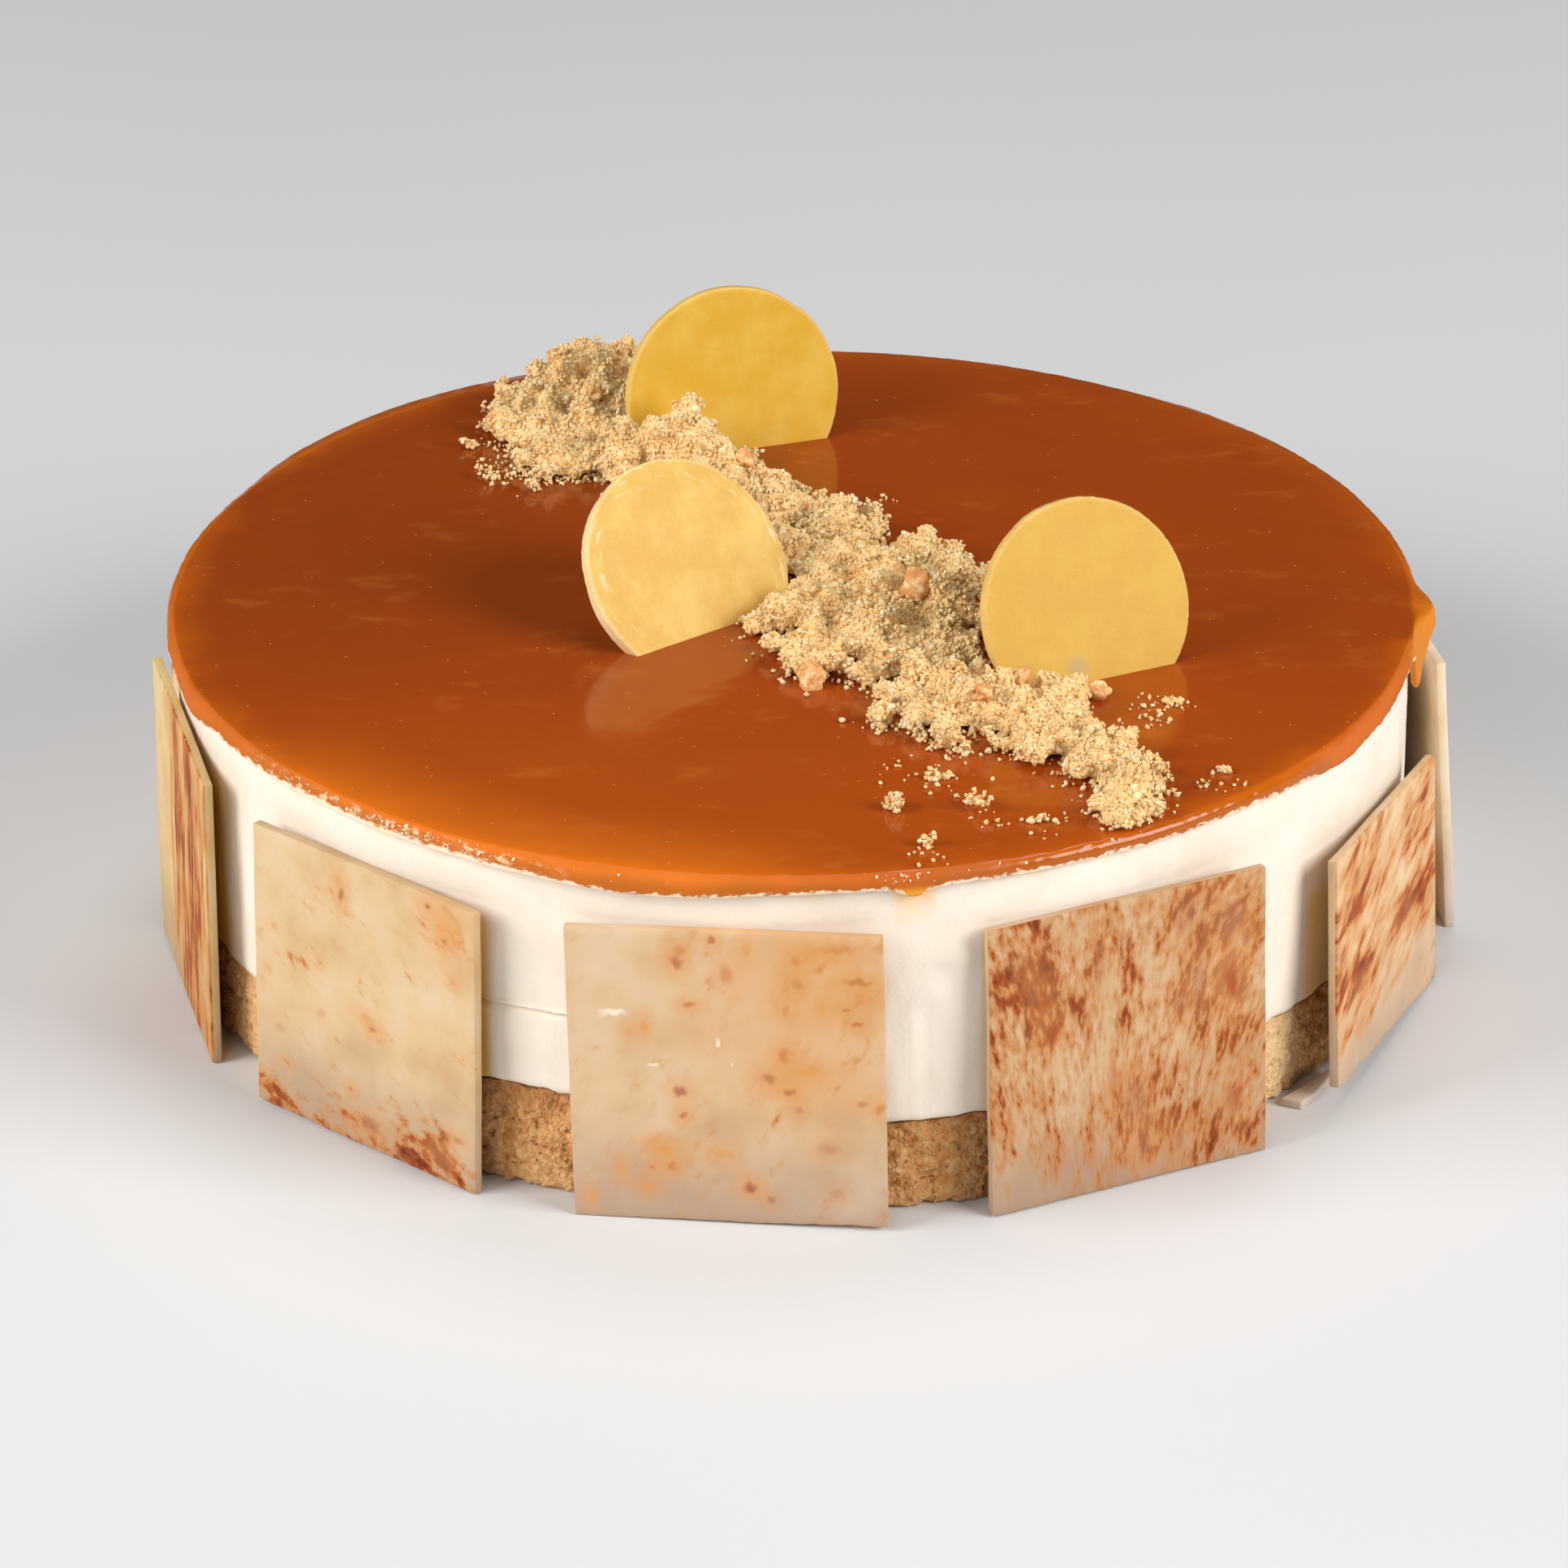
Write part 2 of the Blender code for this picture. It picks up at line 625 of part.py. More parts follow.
def clear_scene():
    for old in list(bpy.data.objects):
        bpy.data.objects.remove(old, do_unlink=True)


def build():
    clear_scene()
    middles = []
    for index, square in enumerate(SQUARES):
        after = SQUARES[(index + 1) % len(SQUARES)][0]
        middles.append(square[0] + 0.5 * ((after - square[0]) % 360.0))
    azimuths = columns(middles, half_width=6.0, wide_step=5.0, fine_step=2.0)
    biscuit_base(azimuths)
    cream = cream_filling(azimuths)
    cut_slots(cream)
    glaze = caramel_glaze()
    loose_clumps(glaze)
    cut_slots(glaze)
    white = white_chocolate_material()
    for index in range(len(SQUARES)):
        chocolate_square(index, white)
    yellow = yellow_chocolate_material()
    for index in range(len(DISCS)):
        chocolate_disc(index, yellow)
    biscuit_crumble()
    chocolate_chip(white)


build()
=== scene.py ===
"""Caramel cheesecake, dressed: rough biscuit base, smeared cream, glossy caramel, marbled white chocolate
squares, yellow chocolate discs and loose biscuit crumble.

In metres, +Z up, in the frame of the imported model. Azimuths are in degrees from the front and grow towards
+X. In the materials, places and sizes are in mm, and colours are the eye's 0 to 255 values.
"""

import math
import random

import bpy
import numpy as np
from mathutils import Matrix, Vector, noise


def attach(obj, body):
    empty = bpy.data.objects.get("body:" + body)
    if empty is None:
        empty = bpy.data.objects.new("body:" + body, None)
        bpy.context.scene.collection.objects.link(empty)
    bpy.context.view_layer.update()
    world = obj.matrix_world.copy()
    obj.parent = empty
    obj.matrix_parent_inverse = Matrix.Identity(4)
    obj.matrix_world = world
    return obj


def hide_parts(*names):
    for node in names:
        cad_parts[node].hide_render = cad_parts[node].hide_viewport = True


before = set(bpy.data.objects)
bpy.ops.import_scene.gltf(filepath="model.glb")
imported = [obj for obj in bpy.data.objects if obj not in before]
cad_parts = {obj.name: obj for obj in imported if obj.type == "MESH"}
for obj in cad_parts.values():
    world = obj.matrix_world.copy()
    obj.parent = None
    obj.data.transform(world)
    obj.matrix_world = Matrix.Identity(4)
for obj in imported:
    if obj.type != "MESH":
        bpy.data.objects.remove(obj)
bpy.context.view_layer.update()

MM = 0.001

# Driving sizes, the same as in the solids
CAKE_HEIGHT = 59.5 * MM
CREAM_RADIUS = 101.2 * MM
GLAZE_RADIUS = 102.6 * MM
GLAZE_THICKNESS = 2.0 * MM
BASE_HEIGHT = 15.6 * MM
SQUARE_THICKNESS = 1.7 * MM
DISC_RADIUS = 19.2 * MM
DISC_THICKNESS = 2.2 * MM
GAP = 0.3 * MM
BASE_RADIUS = CREAM_RADIUS - GAP
GLAZE_UNDERSIDE = CAKE_HEIGHT - GLAZE_THICKNESS
CREAM_TOP = GLAZE_UNDERSIDE - GAP
LEAST_HANG = 0.5 * MM

# Uneven stretches round the cake: azimuth, half width in degrees, and size
SEAM_RISES = (
    (-25.0, 11.0, 2.0 * MM),
    (-62.0, 9.0, -0.5 * MM),
    (12.0, 10.0, -0.6 * MM),
    (52.0, 9.0, -0.9 * MM),
    (119.0, 12.0, 1.0 * MM),
    (-130.0, 16.0, -0.8 * MM),
    (-170.0, 12.0, 1.3 * MM),
)
RIM_BULGES = (
    (-140.0, 24.0, 2.2 * MM),
    (-15.0, 12.0, 0.9 * MM),
    (33.0, 14.0, -0.2 * MM),
    (87.5, 3.4, 2.6 * MM),
    (122.0, 26.0, 0.7 * MM),
)
RIM_HANGS = (
    (-115.0, 7.0, 2.2 * MM),
    (-70.0, 5.0, 1.6 * MM),
    (-30.0, 12.0, 0.5 * MM),
    (-12.0, 10.0, 1.0 * MM),
    (10.2, 1.5, 1.5 * MM),
    (58.0, 7.0, 1.9 * MM),
    (68.0, 4.0, 1.2 * MM),
    (82.5, 2.4, 8.6 * MM),
    (90.0, 5.0, 2.4 * MM),
    (150.0, 8.0, 2.0 * MM),
    (-155.0, 9.0, 1.4 * MM),
)

# The standing squares: azimuth, turn about the upright, lean of the top towards the cake and turn in their
# own plane, in degrees, then width, height and stand-off from the cream
SQUARES = (
    (-74.4, -1.7, 0.6, 0.0, 48.5 * MM, 50.0 * MM, 0.0),
    (-40.7, 0.0, 1.1, -0.4, 47.3 * MM, 49.2 * MM, 0.0),
    (-5.6, -1.4, 1.0, 1.0, 48.9 * MM, 50.0 * MM, 0.0),
    (29.6, -3.9, 2.7, 0.0, 48.3 * MM, 48.9 * MM, 0.0),
    (64.2, 2.8, 3.6, -4.2, 49.1 * MM, 39.6 * MM, 0.8 * MM),
    (99.6, 1.5, 4.0, 0.0, 49.2 * MM, 49.2 * MM, 0.4 * MM),
    (136.0, -0.8, 1.8, 0.6, 49.0 * MM, 49.4 * MM, 0.0),
    (172.5, 1.2, 1.4, -0.8, 48.4 * MM, 49.0 * MM, 0.0),
    (209.0, -1.5, 2.2, 0.5, 49.0 * MM, 48.6 * MM, 0.0),
    (247.0, 0.9, 1.2, -0.5, 48.2 * MM, 49.3 * MM, 0.0),
)
TORN_SQUARE = 4

# The discs: middle of the front face from the cake's axis and above the glaze, turn and backward lean in
# degrees, and radius
DISCS = (
    (-9.9 * MM, 59.7 * MM, 9.2 * MM, 18.1, 11.7, DISC_RADIUS),
    (-16.8 * MM, -9.4 * MM, 8.5 * MM, 38.8, 36.2, DISC_RADIUS),
    (47.1 * MM, -29.7 * MM, 10.4 * MM, 25.1, 22.0, DISC_RADIUS - 0.8 * MM),
)

# Body tone, pale tone, wear of the rim and scuffed arcs of each disc, and the disc with a grey smudge
DISC_TONES = (
    ((220, 170, 50), (226, 183, 72), 0.25, 0.0),
    ((224, 176, 76), (235, 197, 106), 0.8, 0.8),
    ((212, 164, 54), (219, 176, 72), 0.3, 0.0),
)
SMUDGED_DISC = 2

# Marbling of each square: seed, tilt of the streaks from the upright in degrees and how much it grows to the
# right edge, how long and how coarse they are, orange haze, overall density, shares of red, green and blue,
# which are partly painted light that makes each square lighter or darker, the sixth much paler and whiter,
# and stretches with more or fewer streaks in mm: middle from the lower edge's middle, half sizes and change
MARBLING = (
    (1.0, 3.0, 0.0, 7.0, 1.9, 0.8, -0.04, (0.9, 0.88, 0.7), (
        (6, 24, 16, 44, 0.09), (-20, 26, 12, 44, -0.16), (12, 24, 6, 34, 0.04),
    )),
    (2.0, -62.0, 0.0, 1.6, 1.9, 0.2, -0.11, (0.85, 0.83, 0.79), (
        (2, 1, 32, 7, 0.15), (15, 6, 13, 8, 0.06), (18, 45, 6, 6, 0.09), (-20, 4, 8, 4, 0.04),
    )),
    (3.0, 32.0, 0.0, 2.0, 1.7, 0.3, -0.13, (0.85, 0.83, 0.84), (
        (18, 44, 10, 10, 0.06), (12, 26, 10, 9, 0.04), (-16, 40, 9, 14, -0.06),
    )),
    (4.0, 3.0, 14.0, 4.2, 0.8, 0.6, -0.004, (0.77, 0.71, 0.68), (
        (-16, 38, 9, 11, 0.075), (16, 43, 8, 9, 0.07), (-22, 0, 10, 9, -0.2), (15, 29, 8, 8, 0.055),
        (3, 12, 10, 8, 0.06), (17, 8, 7, 7, 0.06), (0, -3, 26, 7, -0.08), (-5, 26, 9, 10, -0.03),
        (-10, 14, 9, 9, -0.04), (9, 20, 5, 5, -0.04),
    )),
    (5.0, 62.0, 4.0, 3.6, 2.1, 0.6, -0.03, (0.96, 0.94, 0.92), (
        (-13, 32, 11, 8, 0.1), (9, 21, 12, 6, 0.1), (-14, 17, 9, 4, 0.09), (16, 33, 8, 7, 0.06),
        (-8, 1, 26, 8, -0.26), (14, 8, 12, 5, -0.1), (4, 27, 12, 3, -0.04),
    )),
    (6.0, 5.0, 0.0, 3.0, 1.2, 0.1, -0.16, (1.12, 1.28, 1.55), (
        (0, 40, 20, 10, 0.03),
    )),
    (7.0, -20.0, 0.0, 2.4, 1.3, 0.4, -0.03, (0.95, 0.94, 0.92), (
        (-10, 12, 14, 12, 0.07), (14, 38, 10, 10, 0.06),
    )),
    (8.0, 12.0, 6.0, 4.0, 1.0, 0.6, -0.005, (0.95, 0.94, 0.92), (
        (8, 30, 16, 16, 0.04), (-18, 4, 14, 12, -0.2),
    )),
    (9.0, -48.0, 0.0, 2.4, 1.5, 0.3, -0.08, (0.95, 0.94, 0.92), (
        (0, 4, 26, 9, 0.13), (-16, 40, 8, 8, 0.07),
    )),
    (10.0, -6.0, 0.0, 5.0, 1.2, 0.4, -0.03, (0.95, 0.94, 0.92), (
        (-14, 24, 10, 26, 0.08), (16, 14, 12, 16, -0.10),
    )),
)

# Single marks on the second, third, fourth and fifth squares, in mm: middle from the lower edge's middle,
# half sizes, kind and strength
OCHRE, BROWN, RED, PURPLE, VIOLET, SCUFF = range(6)
MARKS = {
    1: (
        (-4.5, 43.3, 0.8, 1.5, PURPLE, 0.8), (-5.0, 45.6, 1.0, 1.2, OCHRE, 0.5),
        (1.8, 21.7, 1.1, 0.6, BROWN, 0.8), (0.2, 23.2, 1.4, 0.6, OCHRE, 0.5),
        (-19.4, 32.7, 0.8, 0.4, BROWN, 0.35), (-9.4, 29.6, 0.5, 0.4, BROWN, 0.5),
        (17.5, 45.0, 3.4, 3.6, OCHRE, 0.6), (14.0, 47.4, 0.8, 0.5, RED, 0.7),
        (17.5, 42.5, 0.8, 0.7, BROWN, 0.6), (19.3, 36.0, 0.6, 0.5, OCHRE, 0.6),
        (-9.5, 20.5, 1.2, 1.0, PURPLE, 0.25), (-18.4, 15.0, 1.6, 1.0, PURPLE, 0.25),
        (-22.5, 5.0, 0.7, 0.5, RED, 0.8), (-17.0, 9.0, 0.7, 0.4, BROWN, 0.7),
        (-3.0, 9.5, 0.6, 0.5, BROWN, 0.7), (1.0, 4.6, 2.4, 1.5, PURPLE, 0.6),
        (16.5, 4.6, 1.6, 1.0, PURPLE, 0.6), (20.0, 8.5, 1.4, 0.8, BROWN, 0.6),
    ),
    2: (
        (-7.2, 45.2, 1.1, 1.4, PURPLE, 0.9), (-6.9, 47.1, 1.2, 0.9, BROWN, 0.5),
        (0.3, 43.3, 1.3, 1.9, BROWN, 0.6), (3.5, 47.5, 0.7, 1.4, OCHRE, 0.7),
        (-1.8, 49.0, 0.7, 0.8, RED, 0.7), (11.0, 45.8, 1.0, 1.2, BROWN, 0.8),
        (11.2, 42.0, 0.9, 1.1, PURPLE, 0.6), (14.4, 47.5, 3.0, 1.1, OCHRE, 0.6),
        (20.5, 42.7, 2.4, 0.6, RED, 0.9), (17.5, 48.2, 3.4, 0.9, BROWN, 0.6),
        (-5.6, 37.8, 1.1, 0.5, BROWN, 0.8), (-12.5, 34.0, 0.6, 1.3, OCHRE, 0.8),
        (-15.0, 32.6, 0.5, 1.0, OCHRE, 0.5), (18.6, 38.0, 0.7, 0.5, RED, 0.9),
        (20.2, 35.5, 1.1, 0.5, RED, 0.9), (15.2, 37.8, 0.7, 1.3, OCHRE, 0.6),
        (9.4, 37.4, 0.6, 1.2, BROWN, 0.6), (8.9, 29.6, 1.0, 1.5, BROWN, 0.9),
        (6.5, 25.6, 1.3, 1.1, PURPLE, 0.9), (9.7, 23.4, 1.0, 0.8, PURPLE, 1.0),
        (12.2, 27.0, 1.9, 0.9, OCHRE, 0.9), (-7.2, 23.1, 1.2, 1.2, PURPLE, 0.8),
        (-6.9, 18.7, 0.7, 0.6, BROWN, 0.8), (21.0, 21.9, 1.0, 0.7, PURPLE, 0.6),
        (23.6, 21.2, 0.6, 1.0, BROWN, 0.6), (11.0, 20.2, 0.7, 0.7, PURPLE, 0.5),
        (-10.0, 12.6, 1.3, 1.0, OCHRE, 0.9), (-11.6, 13.9, 1.0, 0.6, OCHRE, 0.7),
        (-9.0, 9.7, 0.8, 0.8, BROWN, 0.7), (-12.0, 9.2, 0.5, 0.5, BROWN, 0.7),
        (-0.7, 12.2, 1.7, 1.0, OCHRE, 0.5), (-16.8, 8.8, 0.6, 1.2, OCHRE, 0.8),
        (-12.8, 5.9, 1.2, 0.8, OCHRE, 0.8), (3.3, 6.6, 1.2, 1.1, PURPLE, 0.9),
        (6.5, 4.6, 0.8, 0.8, PURPLE, 0.5), (15.5, 13.9, 2.0, 1.2, PURPLE, 0.35),
        (16.7, 5.9, 1.5, 1.0, BROWN, 0.35), (-21.8, 3.8, 0.6, 1.5, OCHRE, 0.7),
        (22.3, 39.9, 0.9, 0.9, OCHRE, 0.6), (15.0, 42.0, 13.0, 10.0, OCHRE, 0.4),
        (12.0, 27.0, 9.0, 8.0, OCHRE, 0.3), (-8.0, 11.5, 6.0, 4.0, OCHRE, 0.2),
        (-17.3, 36.1, 2.4, 0.7, SCUFF, 0.6), (-1.2, 31.5, 0.4, 1.1, SCUFF, 0.6),
        (-11.2, 27.5, 1.0, 0.4, SCUFF, 0.5), (0.8, 27.7, 0.4, 0.5, SCUFF, 0.4),
    ),
    3: (
        (18.2, 41.5, 3.0, 4.0, VIOLET, 0.4), (18.0, 31.0, 1.5, 3.6, RED, 0.8),
        (12.5, 32.5, 2.0, 3.2, VIOLET, 0.4), (20.5, 38.0, 0.8, 2.0, PURPLE, 0.5),
        (-13.5, 29.5, 1.4, 2.4, RED, 0.4), (1.0, 14.0, 2.4, 3.8, VIOLET, 0.4),
        (18.5, 10.5, 2.0, 3.2, RED, 0.5), (2.5, 6.5, 1.4, 3.0, PURPLE, 0.5),
        (8.5, 5.5, 1.6, 2.4, VIOLET, 0.35), (10.0, 44.0, 2.6, 4.4, VIOLET, 0.25),
        (9.0, 29.0, 1.8, 2.4, PURPLE, 0.4), (-5.0, 40.0, 1.6, 4.0, VIOLET, 0.2),
        (-18.0, 42.0, 1.0, 2.6, RED, 0.4), (-15.0, 36.0, 1.2, 3.0, RED, 0.4),
        (-3.0, 20.0, 1.0, 2.6, RED, 0.3),
    ),
    4: (
        (7.0, 20.0, 3.0, 1.4, RED, 0.6), (-14.0, 15.5, 2.6, 1.2, RED, 0.5),
        (-15.0, 35.0, 2.4, 1.6, RED, 0.4),
    ),
}

# Tones of the single marks: ochre, brown, red, purple, violet and a pale scuff
MARK_TONES = ((212, 150, 72), (188, 106, 44), (160, 68, 26), (160, 88, 60), (168, 112, 88), (250, 240, 226))

# Half size in mm that takes a patch right through a flat piece
THROUGH = 50.0

# The plainest square, whose chocolate the chip has too
PALEST_SQUARE = 5

# Seeds of all that is random
SQUARE_SEED = 100
CRUMBLE_SEED = 11
FLECK_SEED = 16

# How many there are of the lumps that swell the heap, the coarse and the fine grains on it, the clumps that
# cling to it, the grains and the clumps beside it, and the small nut pieces in it
HEAP_LUMPS = 620
COARSE_GRAINS = 1100
FINE_GRAINS = 24000
CLINGING_CLUMPS = 300
STRAY_GRAINS = 1900
STRAY_CLUMPS = 170
SMALL_NUTS = 12

# Blobs and creases left by the knife on the cream: azimuth, height in mm, half width in degrees, half height
# in mm and size
CREAM_BLOBS = (
    (12.0, 38.0, 1.6, 2.6, 0.9), (14.0, 43.5, 1.6, 1.6, 0.8), (10.2, 30.0, 0.7, 9.0, 0.35),
    (8.8, 24.0, 0.8, 6.0, 0.3), (46.5, 52.0, 0.5, 3.0, 0.4), (-23.0, 28.0, 6.0, 4.0, 0.3),
    (75.0, 36.0, 1.2, 8.0, 0.35), (-57.0, 36.0, 1.0, 8.0, 0.25),
)

# Outline of the caramel's rim in mm: inset from its radius, and height above its lower edge
RIM_OUTLINE = (
    (0.80, 0.02), (0.35, 0.0), (0.10, 0.10), (0.0, 0.32), (0.0, 0.66), (0.04, 1.02), (0.12, 1.36),
    (0.25, 1.66), (0.44, 1.92), (0.70, 2.13), (1.05, 2.29), (1.55, 2.40), (2.30, 2.47),
)

# Cream flecks on the rim: azimuth, spread in degrees and how many
RIM_FLECKS = ((-48.0, 5.0, 16), (-36.0, 5.0, 50), (-24.0, 4.0, 14), (9.0, 1.4, 18), (20.0, 8.0, 12))


def wave(azimuth, stretches):
    """Sum of the soft rises at an azimuth."""
    total = 0.0
    for centre, half_width, size in stretches:
        apart = (azimuth - centre + 180.0) % 360.0 - 180.0
        total += size * math.exp(-((apart / half_width) ** 2))
    return total


def place(azimuth, radius, height):
    """Point at an azimuth, radius and height."""
    angle = math.radians(azimuth)
    return Vector((radius * math.sin(angle), -radius * math.cos(angle), height))


def ripple(azimuth, swells, level):
    """Uneven value from -1 to 1, its own at each level, with as many swells per radian round the cake."""
    return noise.noise(place(azimuth, swells, level))


def azimuth_of(point):
    return math.degrees(math.atan2(point.x, -point.y))


def blend(low, high, value):
    """Soft step from 0 at low to 1 at high."""
    share = min(max((value - low) / (high - low), 0.0), 1.0)
    return share * share * (3.0 - 2.0 * share)


def seam_height(azimuth):
    """Height of the ragged line where the cream starts, at the side of the cake."""
    return BASE_HEIGHT + wave(azimuth, SEAM_RISES) + 0.45 * MM * ripple(azimuth, swells=40.0, level=3.0)


def rim_radius(azimuth):
    """Radius of the caramel's rounded rim."""
    return GLAZE_RADIUS + wave(azimuth, RIM_BULGES) + 0.25 * MM * ripple(azimuth, swells=8.0, level=1.0)


def rim_bottom(azimuth):
    """Height of the caramel's lower edge, which hangs over the cream in drips."""
    uneven = 0.2 * MM * (1.0 + ripple(azimuth, swells=25.0, level=5.0))
    return GLAZE_UNDERSIDE - LEAST_HANG - wave(azimuth, RIM_HANGS) - uneven


def rotation(degrees, axis):
    return Matrix.Rotation(math.radians(degrees), 4, axis)


# Nodes of the materials

VECTOR, NUMBER, TINT = "NodeSocketVector", "NodeSocketFloat", "NodeSocketColor"
FINISH_OUTPUTS = {"Color": TINT, "Roughness": NUMBER, "Height": NUMBER}


class Wire:
    """Output of a node, which is added, subtracted, multiplied and divided like a number."""

    def __init__(self, made, output=0):
        self.socket = made.outputs[output]
        self.tree = made.id_data

    def __add__(self, other):
        return maths("ADD", self, other)

    def __sub__(self, other):
        return maths("SUBTRACT", self, other)

    def __mul__(self, other):
        return maths("MULTIPLY", self, other)

    def __truediv__(self, other):
        return maths("DIVIDE", self, other)


def colour(red, green, blue):
    """Colour from the eye's 0 to 255 values."""
    linear = []
    for value in (red, green, blue):
        share = value / 255.0
        linear.append(share / 12.92 if share <= 0.04045 else ((share + 0.055) / 1.055) ** 2.4)
    return (*linear, 1.0)


def feed(socket, value):
    """A wire, a number, a vector or the eye's values of a colour put on an input."""
    if isinstance(value, Wire):
        value.tree.links.new(value.socket, socket)
    elif socket.type == "RGBA":
        socket.default_value = colour(*value)
    else:
        socket.default_value = value


def connect(made, **values):
    for name, value in values.items():
        feed(made.inputs[name.replace("_", " ")], value)


def add_node(tree, kind, inputs=None, **settings):
    """Node with its settings, and with values or wires on its inputs."""
    made = tree.nodes.new(kind)
    for name, value in settings.items():
        setattr(made, name, value)
    for name, value in (inputs or {}).items():
        feed(made.inputs[name], value)
    return made


def maths(operation, *values):
    """Result of a sum, the first of whose values is a wire."""
    inputs = dict(enumerate(values))
    return Wire(add_node(values[0].tree, "ShaderNodeMath", inputs, operation=operation))


def vector_maths(operation, *values):
    inputs = dict(enumerate(values))
    return Wire(add_node(values[0].tree, "ShaderNodeVectorMath", inputs, operation=operation))


def scaled(spot, size):
    return Wire(add_node(spot.tree, "ShaderNodeVectorMath", {0: spot, "Scale": size}, operation="SCALE"))


def length_of(spot):
    return Wire(add_node(spot.tree, "ShaderNodeVectorMath", {0: spot}, operation="LENGTH"), "Value")


def parts_of(spot):
    made = add_node(spot.tree, "ShaderNodeSeparateXYZ", {"Vector": spot})
    return Wire(made, "X"), Wire(made, "Y"), Wire(made, "Z")


def joined(**parts):
    return Wire(add_node(parts["X"].tree, "ShaderNodeCombineXYZ", parts))


def mapped(spot, way="POINT", **inputs):
    """Place moved, turned or stretched."""
    return Wire(add_node(spot.tree, "ShaderNodeMapping", {"Vector": spot, **inputs}, vector_type=way))


def soft_step(value, low, high, start=0.0, end=1.0):
    """Soft change from start to end while the value goes from low to high."""
    inputs = {"Value": value, "From Min": low, "From Max": high, "To Min": start, "To Max": end}
    return Wire(add_node(value.tree, "ShaderNodeMapRange", inputs, interpolation_type="SMOOTHSTEP"))


def mix(share, first, second):
    """Colour between two, with as much of the second as the share says."""
    return Wire(add_node(share.tree, "ShaderNodeMix", {0: share, 6: first, 7: second}, data_type="RGBA"), 2)


def ramp(value, *stops):
    """Colours along a value."""
    made = add_node(value.tree, "ShaderNodeValToRGB", {"Fac": value})
    elements = made.color_ramp.elements
    while len(elements) < len(stops):
        elements.new(0.5)
    for element, (position, tone) in zip(elements, stops):
        element.position = position
        element.color = colour(*tone)
    return Wire(made)


def noise_at(spot, size, detail=2.0, roughness=0.5, output="Fac"):
    """Cloudy value, with swells of a size in mm."""
    inputs = {"Vector": spot, "Scale": 1.0 / size, "Detail": detail, "Roughness": roughness}
    return Wire(add_node(spot.tree, "ShaderNodeTexNoise", inputs), output)


def cells_at(spot, size):
    """Distance from the nearest cell's middle, and the cell's own colour."""
    made = add_node(spot.tree, "ShaderNodeTexVoronoi", {"Vector": spot, "Scale": 1.0 / size})
    return Wire(made, "Distance"), Wire(made, "Color")


def colour_part(tint, part):
    return Wire(add_node(tint.tree, "ShaderNodeSeparateColor", {"Color": tint}), part)


def bump(height, depth):
    """Relief of a depth in mm from a height of 0 to 1."""
    return Wire(add_node(height.tree, "ShaderNodeBump", {"Height": height, "Distance": depth * MM}))


def object_place(tree):
    return Wire(add_node(tree, "ShaderNodeTexCoord"), "Object")


def in_mm(tree):
    """Place on the piece, in mm."""
    return scaled(object_place(tree), 1.0 / MM)


def attribute(tree, name):
    return Wire(add_node(tree, "ShaderNodeAttribute", attribute_name=name), "Fac")


def bent_place(spot, size, amount):
    """Place pushed about by noise, which makes round patches uneven."""
    push = vector_maths("SUBTRACT", noise_at(spot, size, output="Color"), (0.5, 0.5, 0.5))
    return vector_maths("ADD", spot, scaled(push, amount))


def new_material(name, **constants):
    """Material with its shader, whose constants are set on the shader's own sockets."""
    made = bpy.data.materials.new(name)
    made.use_nodes = True
    shader = made.node_tree.nodes["Principled BSDF"]
    connect(shader, Metallic=0.0, **constants)
    return made, made.node_tree, shader


def new_group(name, inputs, outputs):
    """Node group, what it is given by name, and the node that takes its results."""
    tree = bpy.data.node_groups.new(name, "ShaderNodeTree")
    for direction, sockets in (("INPUT", inputs), ("OUTPUT", outputs)):
        for socket, kind in sockets.items():
            tree.interface.new_socket(name=socket, in_out=direction, socket_type=kind)
    start, end = tree.nodes.new("NodeGroupInput"), tree.nodes.new("NodeGroupOutput")
    return tree, {socket: Wire(start, socket) for socket in inputs}, end


def use_group(tree, group, **inputs):
    made = add_node(tree, "ShaderNodeGroup", node_tree=group)
    connect(made, **inputs)
    return made


def crumb_group():
    """Baked crumb: sandy grains with pits. Puts out a tone from dark to pale, a height and nutty lumps."""
    outputs = {"Tone": NUMBER, "Height": NUMBER, "Lump": NUMBER}
    tree, given, end = new_group("baked_crumb", {"Place": VECTOR}, outputs)
    push = noise_at(given["Place"], 1.0 / 0.9, output="Color")
    spot = vector_maths("ADD", given["Place"], scaled(push, 0.4))
    distance, own_colour = cells_at(spot, 0.85)
    round_grain = soft_step(distance, 0.1, 0.75, 1.0, 0.0)
    cloud = noise_at(spot, 1.9, 6.0, 0.7)
    pits = soft_step(noise_at(spot, 1.1, 3.0, 0.6), 0.3, 0.42)
    lump_distance, lump_colour = cells_at(spot, 5.0)
    lump = maths("GREATER_THAN", colour_part(lump_colour, "Green"), 0.72)
    lump = lump * soft_step(lump_distance, 0.3, 0.42, 1.0, 0.0)
    tone = cloud * 0.8 + colour_part(own_colour, "Red") * 0.12 + round_grain * 0.06
    height = round_grain * 0.5 + cloud * 0.7 + pits * 0.5
    connect(end, Tone=tone * (pits * 0.35 + 0.65), Height=height, Lump=lump)
    return tree


def patch_group():
    """Soft round patch on a flat piece: 1 in its middle and 0 outside."""
    inputs = {"Place": VECTOR, "Middle": VECTOR, "Half Size": VECTOR}
    tree, given, end = new_group("soft_patch", inputs, {"Share": NUMBER})
    away = vector_maths("SUBTRACT", given["Place"], given["Middle"])
    reach = length_of(vector_maths("DIVIDE", away, given["Half Size"]))
    connect(end, Share=soft_step(reach, 0.25, 1.25, 1.0, 0.0))
    return tree


